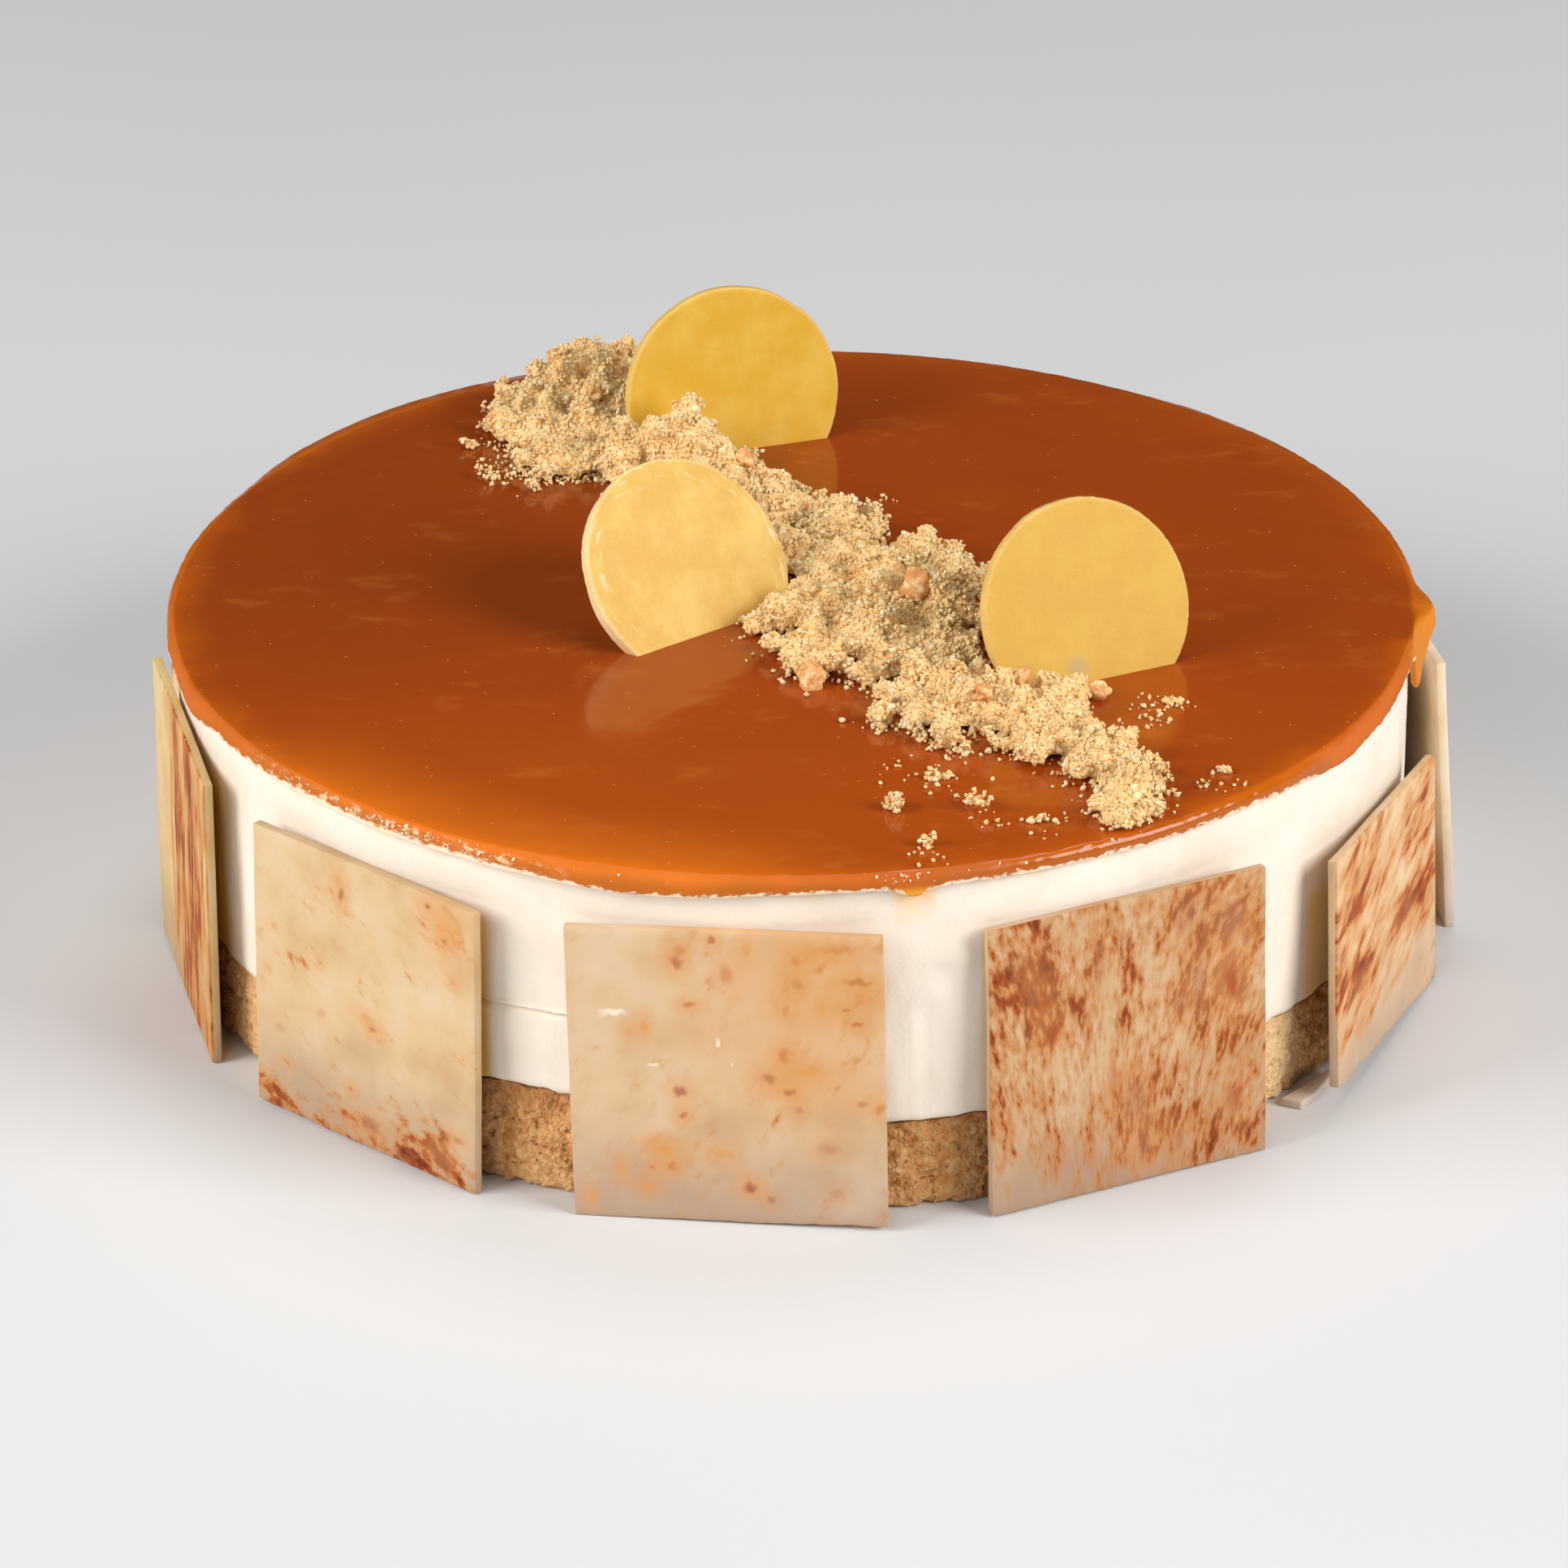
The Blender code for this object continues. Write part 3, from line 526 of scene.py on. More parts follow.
def band_group():
    """Band of the round side near an azimuth in degrees: 1 in its middle and 0 outside."""
    inputs = {"Place": VECTOR, "Azimuth": NUMBER, "Half Width": NUMBER}
    tree, given, end = new_group("side_band", inputs, {"Share": NUMBER, "Angle": NUMBER})
    x, y, _ = parts_of(given["Place"])
    angle = maths("DEGREES", maths("ARCTAN2", x, y * -1.0))
    apart = maths("ABSOLUTE", maths("WRAP", angle - given["Azimuth"], 180.0, -180.0))
    connect(end, Share=soft_step(apart / given["Half Width"], 0.5, 1.1, 1.0, 0.0), Angle=angle)
    return tree


# Streaks of the marbling: density where they start and where they are full, strength, and their two tones
STREAKS = (
    (0.455, 0.56, 0.8, (212, 138, 66), (202, 136, 84)),
    (0.525, 0.59, 0.92, (170, 77, 22), (158, 74, 34)),
    (0.59, 0.66, 0.88, (126, 44, 12), (112, 46, 28)),
)


def marbled_group():
    """White chocolate with brown marbling drawn out in streaks, which Change makes denser or thinner."""
    inputs = {"Place": VECTOR, "Cast": VECTOR}
    inputs.update((name, NUMBER) for name in ("Seed", "Tilt", "Fan", "Length", "Grain", "Haze", "Change"))
    tree, given, end = new_group("marbled_chocolate", inputs, FINISH_OUTPUTS)
    spot, grain = given["Place"], given["Grain"]
    across, behind, up = parts_of(spot)
    tilt = maths("RADIANS", across / 25.0 * given["Fan"] + given["Tilt"])
    cosine, sine = maths("COSINE", tilt), maths("SINE", tilt)
    athwart = across * cosine - up * sine
    along = across * sine + up * cosine
    drawn = joined(X=athwart / grain, Y=given["Seed"] * 37.0, Z=along / (grain * given["Length"]))
    value = noise_at(drawn, 0.85, 3.0, 0.6) * 0.44 + noise_at(drawn, 2.4) * 0.36 + noise_at(spot, 8.0) * 0.2
    value = value + given["Change"] - soft_step(behind, 0.3, 0.7, 0.0, 0.4)
    cloud = noise_at(spot, 12.0, 3.0)
    tint = ramp(cloud, (0.34, (222, 184, 138)), (0.5, (232, 199, 155)), (0.68, (236, 208, 172)))
    # Painted shade: each square greyer towards its lower edge, where less light falls
    tint = mix(soft_step(up + cloud * 20.0, 8.0, 34.0, 0.85, 0.0), tint, (190, 163, 140))
    tint = mix(soft_step(value, 0.36, 0.54) * given["Haze"], tint, (212, 146, 82))
    hue = soft_step(noise_at(spot, 5.0, 3.0), 0.5, 0.64)
    for low, high, strength, orange_brown, red_brown in STREAKS:
        tint = mix(soft_step(value, low, high, 0.0, strength), tint, mix(hue, orange_brown, red_brown))
    scuff = noise_at(spot, 0.8, 4.0)
    # Painted light: each square's whole tint made lighter or darker for the light on it
    tint = vector_maths("MULTIPLY", tint, given["Cast"])
    connect(end, Color=tint, Roughness=soft_step(scuff, 0.3, 0.7, 0.52, 0.64), Height=scuff)
    return tree


def patch_share(spot, middle, half_size):
    return Wire(use_group(spot.tree, SOFT_PATCH, Place=spot, Middle=middle, Half_Size=half_size))


def mark_group():
    """One soft mark on the chocolate, inside a paler orange patch."""
    inputs = {"Base": TINT, "Place": VECTOR, "Middle": VECTOR, "Half Size": VECTOR}
    inputs.update({"Tone": TINT, "Strength": NUMBER, "Halo": NUMBER})
    tree, given, end = new_group("chocolate_mark", inputs, {"Color": TINT})
    spot, middle, half_size = given["Place"], given["Middle"], given["Half Size"]
    wider = vector_maths("MULTIPLY_ADD", half_size, (2.2, 1.0, 2.2), (0.9, 0.0, 1.1))
    halo = patch_share(spot, middle, wider) * (given["Halo"] * given["Strength"])
    tint = mix(halo, given["Base"], (212, 148, 88))
    share = patch_share(spot, middle, half_size) * given["Strength"]
    connect(end, Color=mix(share, tint, given["Tone"]))
    return tree


def disc_group():
    """Yellow chocolate, matt and a little grainy, with a rim worn pale by handling."""
    inputs = {"Place": VECTOR, "Radius": NUMBER, "Body": TINT, "Pale": TINT}
    inputs.update({"Edge Wear": NUMBER, "Scuffs": NUMBER})
    tree, given, end = new_group("yellow_chocolate", inputs, FINISH_OUTPUTS)
    spot = given["Place"]
    cloud = noise_at(spot, 9.0, 4.0, 0.6)
    grain = noise_at(spot, 0.45, 3.0, 0.6)
    tint = mix(soft_step(cloud, 0.38, 0.68), given["Body"], given["Pale"])
    tint = mix(soft_step(grain, 0.5, 0.75, 0.0, 0.3), tint, given["Pale"])
    across, _, up = parts_of(spot)
    reach = length_of(joined(X=across, Z=up))
    inside = given["Radius"] - reach
    bent = parts_of(bent_place(spot, 9.0, 3.0))[0]
    around = joined(X=(reach + bent * 0.3) * 1.6, Y=maths("ARCTAN2", up, across) * 5.0)
    arcs = soft_step(noise_at(around, 2.0, 4.0, 0.7), 0.54, 0.64)
    arcs = arcs * soft_step(inside, 1.2, 5.0, 1.0, 0.0) * given["Scuffs"]
    edge = soft_step(inside - grain * 1.2, -0.6, 0.5, 1.0, 0.0)
    tint = mix(maths("MAXIMUM", arcs, edge * given["Edge Wear"]), tint, (246, 228, 180))
    connect(end, Color=tint, Roughness=soft_step(cloud, 0.3, 0.7, 0.42, 0.56), Height=grain)
    return tree


BAKED_CRUMB = crumb_group()
SOFT_PATCH = patch_group()
SIDE_BAND = band_group()
MARBLED_CHOCOLATE = marbled_group()
CHOCOLATE_MARK = mark_group()
YELLOW_CHOCOLATE = disc_group()


def side_share(spot, azimuth, half_width):
    return Wire(use_group(spot.tree, SIDE_BAND, Place=spot, Azimuth=azimuth, Half_Width=half_width), "Share")


# Stretches of the base painted paler or darker: azimuth, half width in degrees, strength and tone. The paler
# ones at -59 and 47 are partly the crumb's own tone and partly painted light in the shaded gaps beside the
# squares; the darker one at 12 is the crumb's own tone
BASE_TONES_AND_PAINTED_LIGHT = (
    (47.0, 8.0, 0.55, (244, 212, 166)), (-59.0, 9.0, 0.6, (240, 196, 136)), (12.0, 9.0, 0.25, (150, 92, 46)),
)


def biscuit_material():
    """Pressed biscuit crumb: sandy and tan, with dark pits, nutty lumps and a paler lower edge."""
    made, tree, shader = new_material("pressed_biscuit", Roughness=0.85, Specular_IOR_Level=0.2)
    spot = in_mm(tree)
    crumb = use_group(tree, BAKED_CRUMB, Place=spot)
    stops = ((0.18, (114, 56, 22)), (0.30, (171, 106, 53)), (0.42, (203, 144, 86)), (0.60, (228, 182, 124)))
    tint = ramp(Wire(crumb, "Tone"), *stops)
    tint = mix(Wire(crumb, "Lump") * 0.55, tint, (214, 148, 86))
    height = parts_of(spot)[2]
    tint = mix(soft_step(height, 0.5, 4.5, 0.4, 0.0), tint, (222, 178, 120))
    tint = mix(soft_step(height, 12.5, 15.5, 0.0, 0.4), tint, (160, 94, 44))
    # The paler stretches are partly painted light in the shaded gaps beside the squares
    for azimuth, half_width, strength, tone in BASE_TONES_AND_PAINTED_LIGHT:
        tint = mix(side_share(spot, azimuth, half_width) * strength, tint, tone)
    connect(shader, Base_Color=tint, Normal=bump(Wire(crumb, "Height"), 0.34))
    return made


# Painted shadows of the squares on the cream beside them, yellow as if lit through the chocolate: azimuth,
# half width in degrees, strength and upper end in mm
CREAM_PAINTED_SHADOWS = (
    (-67.0, 2.9, 0.95, 49.0), (-29.4, 1.7, 0.8, 48.0), (55.6, 2.6, 0.6, 36.0), (17.2, 1.0, 0.25, 48.0),
    (6.4, 0.8, 0.3, 48.0), (113.6, 1.6, 0.3, 47.0), (150.4, 1.4, 0.3, 47.0), (187.0, 1.4, 0.3, 47.0),
    (223.6, 1.6, 0.3, 47.0), (261.0, 1.4, 0.3, 47.0),
)


def cream_material():
    """Set cream: warm white, smeared, with painted yellow shadows beside the squares and a stain below the
    drip.
    """
    made, tree, shader = new_material("set_cream", Roughness=0.46, Specular_IOR_Level=0.4)
    spot = in_mm(tree)
    tint = ramp(noise_at(spot, 14.0, 3.0), (0.3, (240, 227, 210)), (0.7, (248, 238, 223)))
    height = parts_of(spot)[2]
    # Painted shadows of the squares, yellow as if the light came through the chocolate
    for azimuth, half_width, strength, top in CREAM_PAINTED_SHADOWS:
        share = side_share(spot, azimuth, half_width) * strength
        tint = mix(share * soft_step(height, top - 5.0, top, 1.0, 0.0), tint, (250, 202, 86))
    below_drip = soft_step(height + noise_at(spot, 2.5, 3.0) * 3.0, 49.5, 57.5)
    tint = mix(side_share(spot, 10.4, 2.2) * 0.6 * below_drip, tint, (244, 190, 110))
    patchy = soft_step(noise_at(spot, 5.0, 3.0), 0.5, 0.66)
    tint = mix(soft_step(height, 53.5, 56.8) * patchy * 0.45, tint, (244, 208, 132))
    smear = noise_at(mapped(spot, Scale=(1.0, 1.0, 0.25)), 2.2, 4.0)
    relief = noise_at(spot, 0.7, 4.0, 0.6) * 0.35 + smear * 0.6
    connect(shader, Base_Color=tint, Normal=bump(relief, 0.2))
    return made


def caramel_material():
    """Poured caramel: deep and glossy on top, a brighter orange where it thins at the front and the rim."""
    made, tree, shader = new_material("poured_caramel", IOR=1.45, Specular_IOR_Level=0.42)
    spot = in_mm(tree)
    x, y, height = parts_of(spot)
    forward = soft_step(y, -98.0, -5.0, 1.0, 0.0)
    leftward = soft_step(x, -60.0, 60.0, 1.0, 0.0)
    bright = forward * (leftward * 0.35 + 0.4) + noise_at(spot, 30.0, 4.0, 0.55) * 0.3 - leftward * 0.15
    stops = (
        (0.0, (147, 62, 10)), (0.15, (156, 66, 11)), (0.3, (163, 69, 12)), (0.65, (173, 75, 14)),
        (0.95, (187, 82, 16)),
    )
    tint = ramp(bright, *stops)

    # The rim, thinner and so brighter, the hazy front left, and pale smears
    over = attribute(tree, "over_edge")
    wavy = over + noise_at(spot, 14.0, 3.0) * 8.0
    rim_share = leftward * 0.45 + 0.35 + side_share(spot, 68.0, 36.0) * 0.45
    tint = mix(soft_step(wavy, 4.0, 20.0, 1.0, 0.0) * rim_share, tint, (222, 112, 20))
    hazy = side_share(spot, -27.0, 31.0) * soft_step(wavy, 8.0, 34.0, 0.7, 0.0)
    tint = mix(hazy, tint, (228, 118, 24))
    smear = noise_at(mapped(spot, Scale=(0.6, 1.0, 1.0)), 8.0, 5.0, 0.62)
    tint = mix(soft_step(smear, 0.56, 0.74, 0.0, 0.16), tint, (220, 132, 58))
    rim_tone = mix(side_share(spot, -42.0, 48.0), (172, 88, 6), (180, 95, 4))
    tint = mix(soft_step(wavy, 4.0, 9.0, 0.85, 0.0), tint, rim_tone)

    # The thick lobe at the right and the drip at the front
    lobe = side_share(spot, 85.0, 10.0) * soft_step(height, 58.3, 59.3, 0.85, 0.0)
    tint = mix(lobe, tint, (222, 132, 20))
    drip = side_share(spot, 10.0, 2.2) * soft_step(height, 55.8, 57.6, 0.8, 0.0)
    tint = mix(drip, tint, (246, 170, 44))

    # The torn lower edge, with cream showing through it like lace, and specks on the top
    torn_side = use_group(tree, SIDE_BAND, Place=spot, Azimuth=-38.0, Half_Width=19.0)
    torn = Wire(torn_side, "Share")
    along_rim = joined(X=Wire(torn_side, "Angle") * 1.1, Y=over)
    ragged = over + noise_at(along_rim, 1.1, 5.0, 0.68) * 3.0 - torn * 0.5
    tint = mix(soft_step(ragged, 1.8, 2.3, 0.95, 0.0), tint, (247, 226, 196))
    lace = soft_step(noise_at(along_rim, 1.5, 5.0, 0.62), 0.49, 0.58) * soft_step(over, 0.6, 1.6)
    lace = lace * soft_step(over, 2.2, 3.8, 1.0, 0.0) * torn
    tint = mix(lace * 0.75, tint, (246, 206, 158))
    specks = soft_step(cells_at(spot, 3.6)[0], 0.04, 0.075, 1.0, 0.0)
    tint = mix(specks * 0.4, tint, (232, 160, 100))

    pits = noise_at(spot, 1.4, 3.0)
    dull = maths("MAXIMUM", side_share(spot, -50.0, 50.0), side_share(spot, -8.0, 30.0))
    dull = maths("MAXIMUM", dull, side_share(spot, 76.0, 26.0)) * soft_step(over, 3.6, 9.0, 1.0, 0.0)
    gloss = soft_step(pits, 0.3, 0.8, 0.10, 0.2) + dull * 0.7
    gloss = maths("MAXIMUM", gloss, lobe * 0.75)
    relief = noise_at(spot, 9.0) + lace * 0.8 + pits * 0.04
    connect(shader, Base_Color=tint, Roughness=gloss, Normal=bump(relief, 0.16))
    return made


def crumble_material():
    """Loose biscuit crumble: pale golden grains, each its own tone, with painted shade a little darker deep
    in the heap.
    """
    made, tree, shader = new_material("loose_crumble", Roughness=0.85, Specular_IOR_Level=0.25)
    spot = in_mm(tree)
    fine = noise_at(spot, 0.5, 4.0, 0.6)
    value = attribute(tree, "tone") * 0.4 + fine * 0.4 + noise_at(spot, 7.0) * 0.25
    stops = ((0.2, (249, 191, 114)), (0.4, (255, 212, 143)), (0.6, (255, 229, 173)), (0.85, (255, 241, 206)))
    connect(shader, Base_Color=ramp(value, *stops), Normal=bump(fine, 0.35))
    return made


def nut_material():
    """Roasted nut pieces, orange tan with pale dust on them."""
    made, tree, shader = new_material("roasted_nut", Roughness=0.6, Specular_IOR_Level=0.35)
    cloud = noise_at(in_mm(tree), 1.4, 4.0, 0.65)
    tint = ramp(cloud, (0.36, (214, 142, 78)), (0.5, (230, 168, 102)), (0.6, (246, 214, 156)))
    connect(shader, Base_Color=tint, Normal=bump(cloud, 0.35))
    return made


def fleck_material():
    """Cream torn up at the rim, tinted by the caramel."""
    made, tree, shader = new_material("rim_flecks", Roughness=0.4, Subsurface_Weight=0.2, Subsurface_Scale=MM)
    cloud = noise_at(in_mm(tree), 1.2, 3.0)
    tint = ramp(cloud, (0.35, (244, 200, 146)), (0.6, (250, 228, 200)))
    connect(shader, Base_Color=tint, Normal=bump(cloud, 0.1))
    return made


def square_frame(index):
    """Place of a square: its origin is the middle of its lower edge, and it looks along its own -Y."""
    azimuth, turn, lean, roll, _, height, stand_off = SQUARES[index]
    foot_out = height * math.sin(math.radians(lean))
    radius = (CREAM_RADIUS + GAP + stand_off + SQUARE_THICKNESS + foot_out) / math.cos(math.radians(turn))
    foot = Matrix.Translation(place(azimuth, radius, 0.0))
    return foot @ rotation(azimuth + turn, "Z") @ rotation(-lean, "X") @ rotation(-roll, "Y")


def disc_frame(index):
    """Place of a disc: its origin is the middle of its front face, which looks along its own -Y."""
    x, y, above, turn, lean, _ = DISCS[index]
    return Matrix.Translation((x, y, CAKE_HEIGHT + above)) @ rotation(turn, "Z") @ rotation(-lean, "X")


def on_piece(tree, matrix):
    """Place on a flat piece in mm, in the piece's own directions."""
    inputs = {"Location": matrix.to_translation(), "Rotation": matrix.to_euler(), "Scale": (MM, MM, MM)}
    return mapped(object_place(tree), "TEXTURE", **inputs)


def flat_patch(spot, x, z, half_x, half_z):
    """Share of a patch that goes right through a flat piece."""
    return patch_share(spot, (x, 0.0, z), (half_x, THROUGH, half_z))


def frayed_place(spot):
    """Place pushed about softly along a diagonal, which frays round marks."""
    turned_spot = mapped(spot, Rotation=(0.0, math.radians(35.0), 0.0), Scale=(1.0, 1.0, 0.5))
    shift = (noise_at(turned_spot, 1.6, 1.0) - 0.5) * 1.4
    moved = vector_maths("ADD", spot, joined(X=shift * 0.55, Z=shift))
    return bent_place(moved, 1.6, 1.2)


def marbled_material(index, name):
    """White chocolate with a square's own marbling and marks."""
    seed, tilt, fan, length, grain, haze, change, cast, stretches = MARBLING[index]
    made, tree, shader = new_material(name, Specular_IOR_Level=0.22)
    spot = on_piece(tree, square_frame(index))
    uneven = bent_place(spot, 6.0, 7.0)
    for x, z, half_x, half_z, more in stretches:
        change = flat_patch(uneven, x, z, half_x, half_z) * more + change
    given = {"Place": spot, "Cast": cast, "Seed": seed, "Tilt": tilt, "Fan": fan}
    given.update({"Length": length, "Grain": grain, "Haze": haze, "Change": change})
    marbled = use_group(tree, MARBLED_CHOCOLATE, **given)
    tint = Wire(marbled, "Color")
    frayed = frayed_place(spot) if index in MARKS else spot
    for x, z, half_x, half_z, kind, strength in MARKS.get(index, ()):
        given = {"Base": tint, "Place": frayed, "Middle": (x, 0.0, z), "Half_Size": (half_x, THROUGH, half_z)}
        given.update({"Tone": MARK_TONES[kind], "Strength": strength, "Halo": 0.0 if kind == SCUFF else 0.6})
        tint = Wire(use_group(tree, CHOCOLATE_MARK, **given))
    relief = bump(Wire(marbled, "Height"), 0.025)
    connect(shader, Base_Color=tint, Roughness=Wire(marbled, "Roughness"), Normal=relief)
    return made


def disc_material(index):
    """Yellow chocolate of a disc, with its own tones and wear."""
    body, pale, edge_wear, scuffs = DISC_TONES[index]
    made, tree, shader = new_material(f"yellow_chocolate_{index + 1:02d}", Specular_IOR_Level=0.3)
    spot = on_piece(tree, disc_frame(index))
    given = {"Radius": DISCS[index][-1] / MM, "Body": body, "Pale": pale, "Edge_Wear": edge_wear}
    plate = use_group(tree, YELLOW_CHOCOLATE, Place=spot, Scuffs=scuffs, **given)
    tint = Wire(plate, "Color")
    if index == SMUDGED_DISC:
        tint = mix(flat_patch(spot, -3.5, -8.6, 2.4, 2.0) * 0.4, tint, (160, 150, 140))
    relief = bump(Wire(plate, "Height"), 0.04)
    connect(shader, Base_Color=tint, Roughness=Wire(plate, "Roughness"), Normal=relief)
    return made


# Modelling


def deselect():
    bpy.ops.object.select_all(action="DESELECT")


def pick(piece):
    """Only this piece selected, and active."""
    deselect()
    piece.select_set(True)
    bpy.context.view_layer.objects.active = piece


def edit(piece, kind="VERT"):
    pick(piece)
    bpy.ops.object.mode_set(mode="EDIT")
    bpy.ops.mesh.select_mode(type=kind)
    bpy.ops.mesh.select_all(action="SELECT")


def done():
    bpy.ops.object.mode_set(mode="OBJECT")


def apply_all(piece):
    """Every modifier of the piece applied, in order."""
    pick(piece)
    for name in [modifier.name for modifier in piece.modifiers]:
        bpy.ops.object.modifier_apply(modifier=name)


def settle(piece):
    """The piece's place moved into its mesh."""
    pick(piece)
    bpy.ops.object.transform_apply(location=True, rotation=True, scale=True)


def outwards(piece):
    """Doubles merged and faces turned outwards."""
    edit(piece)
    bpy.ops.mesh.remove_doubles(threshold=1e-6)
    bpy.ops.mesh.normals_make_consistent(inside=False)
    done()


def smooth(piece, angle=40.0):
    pick(piece)
    bpy.ops.object.shade_smooth_by_angle(angle=math.radians(angle))


def move_corners(piece, move):
    """Each corner of the piece put where the function says."""
    for corner in piece.data.vertices:
        corner.co = move(corner.co)
    piece.data.update()


def added(name, mesh):
    piece = bpy.data.objects.new(name, mesh)
    bpy.context.scene.collection.objects.link(piece)
    return piece


def solid_copy(name, node):
    """New piece that starts as a copy of a solid, its loose triangles merged."""
    piece = added(name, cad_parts[node].data.copy())
    outwards(piece)
    return piece


def dress(piece, name, finish, slot, *nodes):
    """Name, material, body and the solids that the piece stands for. The slot is not used."""
    piece.name = name
    piece.data.name = name
    piece.data.materials.clear()
    piece.data.materials.append(finish)
    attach(piece, "root")
    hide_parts(*nodes)
    return piece


def turned(rings, sides):
    """Round body: a disc that is extruded and resized ring by ring, from radius and height pairs."""
    deselect()
    radius, height = rings[0]
    start = (0.0, 0.0, height)
    bpy.ops.mesh.primitive_circle_add(vertices=sides, radius=radius, fill_type="NGON", location=start)
    piece = bpy.context.active_object
    edit(piece, "FACE")
    for next_radius, next_height in rings[1:]:
        rise = {"value": (0.0, 0.0, next_height - height)}
        bpy.ops.mesh.extrude_region_move(TRANSFORM_OT_translate=rise)
        share = next_radius / radius
        middle = (0.0, 0.0, next_height)
        bpy.ops.transform.resize(value=(share, share, 1.0), center_override=middle)
        radius, height = next_radius, next_height
    done()
    settle(piece)
    outwards(piece)
    return piece


def steps(start, end, count):
    """Even values from start to end, both included."""
    return [start + (end - start) * step / (count - 1) for step in range(count)]


def lumpy(point, size):
    """Rounded lumps of a size with cracks between them, from 0 in a crack to 1 on a lump."""
    near = noise.voronoi(point / size)[0]
    return min((near[1] - near[0]) * 1.6, 1.0)


def rough(point, size, octaves=4):
    """Rough value, mostly from -1 to 1, with detail down to a small part of its size."""
    return noise.fractal(point / size, 0.9, 2.0, octaves)


def biscuit_side():
    """Pressed crumb: sandy, with lumps, torn pits and a ragged foot."""
    rings = [(BASE_RADIUS - 4.0 * MM, 0.0), (BASE_RADIUS - 1.6 * MM, 0.0)]
    rings += [(BASE_RADIUS, height) for height in steps(0.4 * MM, BASE_HEIGHT, 27)]
    rings += [(BASE_RADIUS - 1.0 * MM, BASE_HEIGHT), (BASE_RADIUS - 6.0 * MM, BASE_HEIGHT)]
    rings += [(BASE_RADIUS - 16.0 * MM, BASE_HEIGHT)]
    piece = turned(rings, sides=1080)

    def roughen(point):
        radius = math.hypot(point.x, point.y)
        azimuth = azimuth_of(point)
        if radius < BASE_RADIUS - 3.0 * MM:
            inner = blend(BASE_RADIUS - 16.0 * MM, BASE_RADIUS - 2.0 * MM, radius)
            if point.z < 0.5 * BASE_HEIGHT:
                return point
            return Vector((point.x, point.y, BASE_HEIGHT + inner * (seam_height(azimuth) - BASE_HEIGHT)))
        height = point.z * seam_height(azimuth) / BASE_HEIGHT
        spot = place(azimuth, radius, height)
        pit = blend(0.25, 0.6, rough(spot, 3.2 * MM, 3))
        depth = 0.25 + 0.3 * rough(spot, 1.9 * MM) + 0.8 * pit + 0.2 * noise.noise(spot / (9.0 * MM))
        depth += 0.4 * (1.0 - blend(0.0, 0.7, lumpy(spot, 1.9 * MM)))
        depth -= 0.25 * blend(0.5, 0.9, lumpy(spot, 6.0 * MM))
        rise = 0.3 * MM * noise.noise(-spot / (1.6 * MM)) if point.z > 0.0 else 0.0
        if point.z < 1.4 * MM:
            foot = 1.0 - blend(0.0, 1.4 * MM, point.z)
            depth += 0.9 * foot * max(0.35 + ripple(azimuth, swells=55.0, level=2.0), 0.0)
        top = 0.35 * blend(0.8 * BASE_HEIGHT, BASE_HEIGHT, point.z)
        return place(azimuth, radius - (max(depth, 0.0) - 0.1 + top) * MM, max(height + rise, 0.0))

    move_corners(piece, roughen)
    smooth(piece, 60.0)
    dress(piece, "biscuit_side", biscuit_material(), "biscuit", "biscuit_base")


def cream_body():
    """Cream smoothed with a knife: shallow smears, a crease and a few blobs."""
    edge = 1.0 * MM
    rings = [(CREAM_RADIUS - 16.0 * MM, BASE_HEIGHT + GAP), (CREAM_RADIUS - 6.0 * MM, BASE_HEIGHT + GAP)]
    rings += [(CREAM_RADIUS - 0.8 * MM, BASE_HEIGHT + GAP)]
    levels = steps(BASE_HEIGHT + 0.9 * MM, 29.6 * MM, 15) + steps(30.0 * MM, 33.6 * MM, 15)
    levels += steps(34.4 * MM, CREAM_TOP - edge, 24)
    rings += [(CREAM_RADIUS, height) for height in levels]
    rings += [(CREAM_RADIUS - 0.35 * edge, CREAM_TOP - 0.3 * edge), (CREAM_RADIUS - edge, CREAM_TOP)]
    rings += [(CREAM_RADIUS - 8.0 * MM, CREAM_TOP)]
    piece = turned(rings, sides=720)

    def smear(point):
        radius = math.hypot(point.x, point.y)
        azimuth = azimuth_of(point)
        lift = seam_height(azimuth) - BASE_HEIGHT
        fade = 1.0 - blend(BASE_HEIGHT + GAP, CREAM_TOP - 2.0 * edge, point.z)
        inner = blend(CREAM_RADIUS - 16.0 * MM, CREAM_RADIUS - 2.0 * MM, radius)
        height = point.z + lift * fade * inner
        if radius < CREAM_RADIUS - 3.0 * MM:
            return Vector((point.x, point.y, height))
        spot = place(azimuth, radius, height)
        stretched = Vector((spot.x, spot.y, 0.35 * spot.z))
        depth = 0.28 * (1.0 + noise.noise(stretched / (11.0 * MM)))
        depth += 0.12 * noise.noise(stretched / (2.6 * MM))
        depth += 0.04 * noise.noise(spot / (1.1 * MM))
        crease = 31.6 * MM + 0.4 * MM * ripple(azimuth, swells=20.0, level=7.0)
        along = blend(-31.0, -28.0, azimuth) * (1.0 - blend(-19.0, -16.0, azimuth))
        depth += 0.7 * along * math.exp(-(((height - crease) / (0.3 * MM)) ** 2))
        depth -= 0.4 * along * math.exp(-(((height - crease - 0.65 * MM) / (0.35 * MM)) ** 2))
        for centre, level, half_width, half_height, size in CREAM_BLOBS:
            apart = ((azimuth - centre) / half_width) ** 2 + ((height / MM - level) / half_height) ** 2
            depth -= 0.8 * size * math.exp(-apart)
        return place(azimuth, radius - max(depth, -0.25) * MM, height)

    move_corners(piece, smear)
    smooth(piece, 60.0)
    dress(piece, "cream_body", cream_material(), "cream", "cream_filling")


